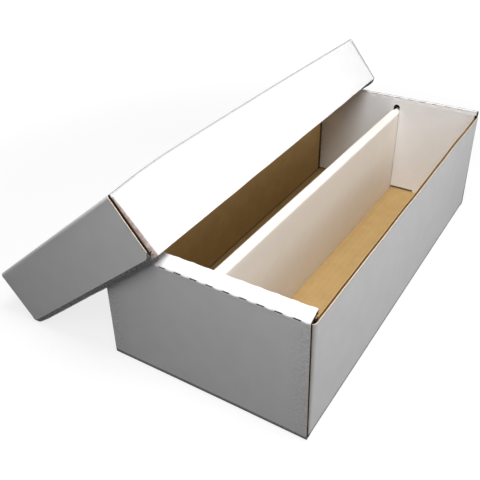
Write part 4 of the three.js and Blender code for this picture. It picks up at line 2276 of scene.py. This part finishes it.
@dataclass(frozen=True)
class Softbox:
    """A large soft square lamp, aimed at a point: sizes in metres, power in watts."""

    name: str
    place: Place
    size: float
    power: float
    aim: Place = (0.0, 0.0, 0.05)

    def make(self) -> None:
        """Makes the lamp."""
        data = bpy.data.lights.new(self.name, "AREA")
        data.shape, data.size, data.energy = "SQUARE", self.size, self.power
        lamp = bpy.data.objects.new(self.name, data)
        lamp.location = self.place
        aim = Vector(self.aim) - Vector(self.place)
        lamp.rotation_euler = aim.to_track_quat("-Z", "Y").to_euler()
        bpy.context.scene.collection.objects.link(lamp)
        log.info("lamp %s", self.name)


@dataclass(frozen=True)
class Viewpoint:
    """The photograph's camera: angles in degrees, the place in metres, the lens in millimetres."""

    azimuth: float = 32.7255
    elevation: float = 33.9622
    roll: float = math.degrees(-0.02267)
    place: Place = (0.22912, -0.50193, 0.40353)
    lens: float = 48.289
    sensor: float = 36.0
    nearest: float = 0.01
    farthest: float = 50.0

    def turn(self) -> Matrix:
        """Turns the camera.

        Returns:
            The rotation, with the view along the camera's own -Z.
        """
        azimuth, elevation, roll = (math.radians(a) for a in (self.azimuth, self.elevation, self.roll))
        level = math.cos(elevation)
        back = Vector((math.sin(azimuth) * level, -math.cos(azimuth) * level, math.sin(elevation)))
        side = (-back).cross(Vector((0.0, 0.0, 1.0))).normalized()
        rise = side.cross(-back)
        right = side * math.cos(roll) + rise * math.sin(roll)
        up = rise * math.cos(roll) - side * math.sin(roll)
        return Matrix((right, up, back)).transposed().to_4x4()

    def make(self) -> None:
        """Makes the camera."""
        data = bpy.data.cameras.new("Viewpoint")
        data.sensor_width, data.sensor_fit, data.lens = self.sensor, "HORIZONTAL", self.lens
        data.clip_start, data.clip_end = self.nearest, self.farthest
        camera = bpy.data.objects.new("Viewpoint", data)
        camera.matrix_world = Matrix.Translation(self.place) @ self.turn()
        bpy.context.scene.collection.objects.link(camera)
        bpy.context.scene.camera = camera


@dataclass
class Studio:
    """The floor, the pale surround, the lamps and the camera.

    Attributes:
        world_level: the level of the surround's light on the object.
        level_low_share: how much of the level comes from the horizon and below.
        level_gain_share: how much more comes from straight above.
        floor_reach: half the floor's width.
        floor_share: how much of the floor near the object is white by itself, and keeps no shadow.
        floor_white: that white's strength.
        floor_fade: from where to where the shadow fades out.
        floor_seen: the floor's tone where it is seen.
        floor_unseen: its tone to the light that reaches the object, nearly black.
    """

    world_level: float = 0.068
    level_low_share: float = 0.4
    level_gain_share: float = 2.0
    floor_reach: float = 6.0
    floor_share: float = 0.75
    floor_white: float = 1.08
    floor_fade: Flat = (0.35, 0.8)
    floor_seen: Colour = (0.8, 0.8, 0.8)
    floor_unseen: Colour = (0.03, 0.03, 0.03)
    white: Colour = (1.0, 1.0, 1.0)
    viewpoint: Viewpoint = Viewpoint()
    lamps: tuple[Softbox, ...] = (
        Softbox("Key", (0.1, -0.15, 1.1), 0.4, 5.9),
        Softbox("Fill", (0.33, -0.15, 1.05), 0.4, 3.1),
        Softbox("Side", (0.6, 0.1, 0.5), 0.3, 1.82),
        Softbox("Front", (0.18, -0.5, 0.6), 0.3, 1.75),
    )

    def build(self) -> None:
        """Makes everything that isn't the object."""
        self.world()
        self.floor()
        for lamp in self.lamps:
            lamp.make()
        self.viewpoint.make()

    @staticmethod
    def seen(nodes: NodeTree) -> bpy.types.NodeSocket:
        """Adds what tells the rays that show the background from those that light the object.

        Args:
            nodes: the world's or the floor's helper.

        Returns:
            1 for a camera, glossy or transmission ray, and 0 for the rest.
        """
        path = nodes.add("ShaderNodeLightPath")
        seen = nodes.maths("ADD", path.outputs["Is Camera Ray"], path.outputs["Is Glossy Ray"], clamp=True)
        return nodes.maths("ADD", seen, path.outputs["Is Transmission Ray"], clamp=True)

    def world(self) -> None:
        """A white surround where it is seen, and a plain soft light to the object."""
        world = bpy.data.worlds.new("Surround")
        world.use_nodes = True
        bpy.context.scene.world = world
        nodes = NodeTree(world.node_tree)
        seen = self.seen(nodes)
        aim = nodes.add("ShaderNodeSeparateXYZ")
        nodes.feed(aim.inputs[0], nodes.add("ShaderNodeTexCoord").outputs["Generated"])
        low, gain = self.level_low_share * self.world_level, self.level_gain_share * self.world_level
        soft = nodes.maths("MULTIPLY_ADD", nodes.ramp(aim.outputs["Z"], 0.0, 1.0), gain, low)
        level = nodes.maths("MULTIPLY_ADD", seen, nodes.maths("SUBTRACT", 1.0, soft), soft)
        shine = nodes.add("ShaderNodeBackground")
        nodes.feed(shine.inputs["Color"], self.white)
        nodes.feed(shine.inputs["Strength"], level)
        nodes.feed(nodes.add("ShaderNodeOutputWorld").inputs["Surface"], shine.outputs[0])

    def floor(self) -> None:
        """A wide pale floor that keeps the object's soft shadow."""
        mesh = bpy.data.meshes.new("Floor")
        reach = self.floor_reach
        corners = [(-reach, -reach, 0.0), (reach, -reach, 0.0), (reach, reach, 0.0), (-reach, reach, 0.0)]
        mesh.from_pydata(corners, [], [(0, 1, 2, 3)])
        floor = bpy.data.objects.new("Floor", mesh)
        bpy.context.scene.collection.objects.link(floor)
        mesh.materials.append(self.floor_material())

    def floor_material(self) -> bpy.types.Material:
        """A pale matt tone mixed with a white that shows no shadow, more of it further out.

        Returns:
            The material.
        """
        material = bpy.data.materials.new("Pale floor")
        material.use_nodes = True
        nodes = NodeTree(material.node_tree)
        seen = self.seen(nodes)
        matt = nodes.add("ShaderNodeBsdfDiffuse")
        nodes.feed(matt.inputs["Color"], nodes.mix(seen, self.floor_unseen, self.floor_seen))
        shine = nodes.add("ShaderNodeEmission")
        nodes.feed(shine.inputs["Color"], self.white)
        nodes.feed(shine.inputs["Strength"], self.floor_white)
        away = nodes.add("ShaderNodeVectorMath", operation="LENGTH")
        nodes.feed(away.inputs[0], nodes.add("ShaderNodeTexCoord").outputs["Object"])
        far = nodes.ramp(away.outputs["Value"], *self.floor_fade)
        share = nodes.maths("MULTIPLY_ADD", far, 1.0 - self.floor_share, self.floor_share)
        mixed = nodes.add("ShaderNodeMixShader")
        nodes.feed(mixed.inputs[0], nodes.maths("MULTIPLY", seen, share))
        nodes.feed(mixed.inputs[1], matt.outputs[0])
        nodes.feed(mixed.inputs[2], shine.outputs[0])
        nodes.feed(nodes.add("ShaderNodeOutputMaterial").inputs["Surface"], mixed.outputs[0])
        return material


def main() -> None:
    """Builds the studio, the tray, the divider and the lid."""
    logging.basicConfig(level=logging.INFO, format="%(name)s: %(message)s")
    bpy.context.scene.view_settings.view_transform = "Standard"
    Studio().build()
    gauge, form = Gauge(), DividerForm()
    finishes = BoardFinishes(gauge)
    finishes.make()
    maker = BoardMaker(finishes, gauge)
    tray, lid = tray_blank(gauge, form), lid_blank()
    FoldedBlank(tray, maker, seed=1.0).build()
    Divider(maker, form).build()
    FoldedBlank(lid, maker, LidRest().placement(lid, tray), seed=41.0).build()


if __name__ == "__main__":
    main()
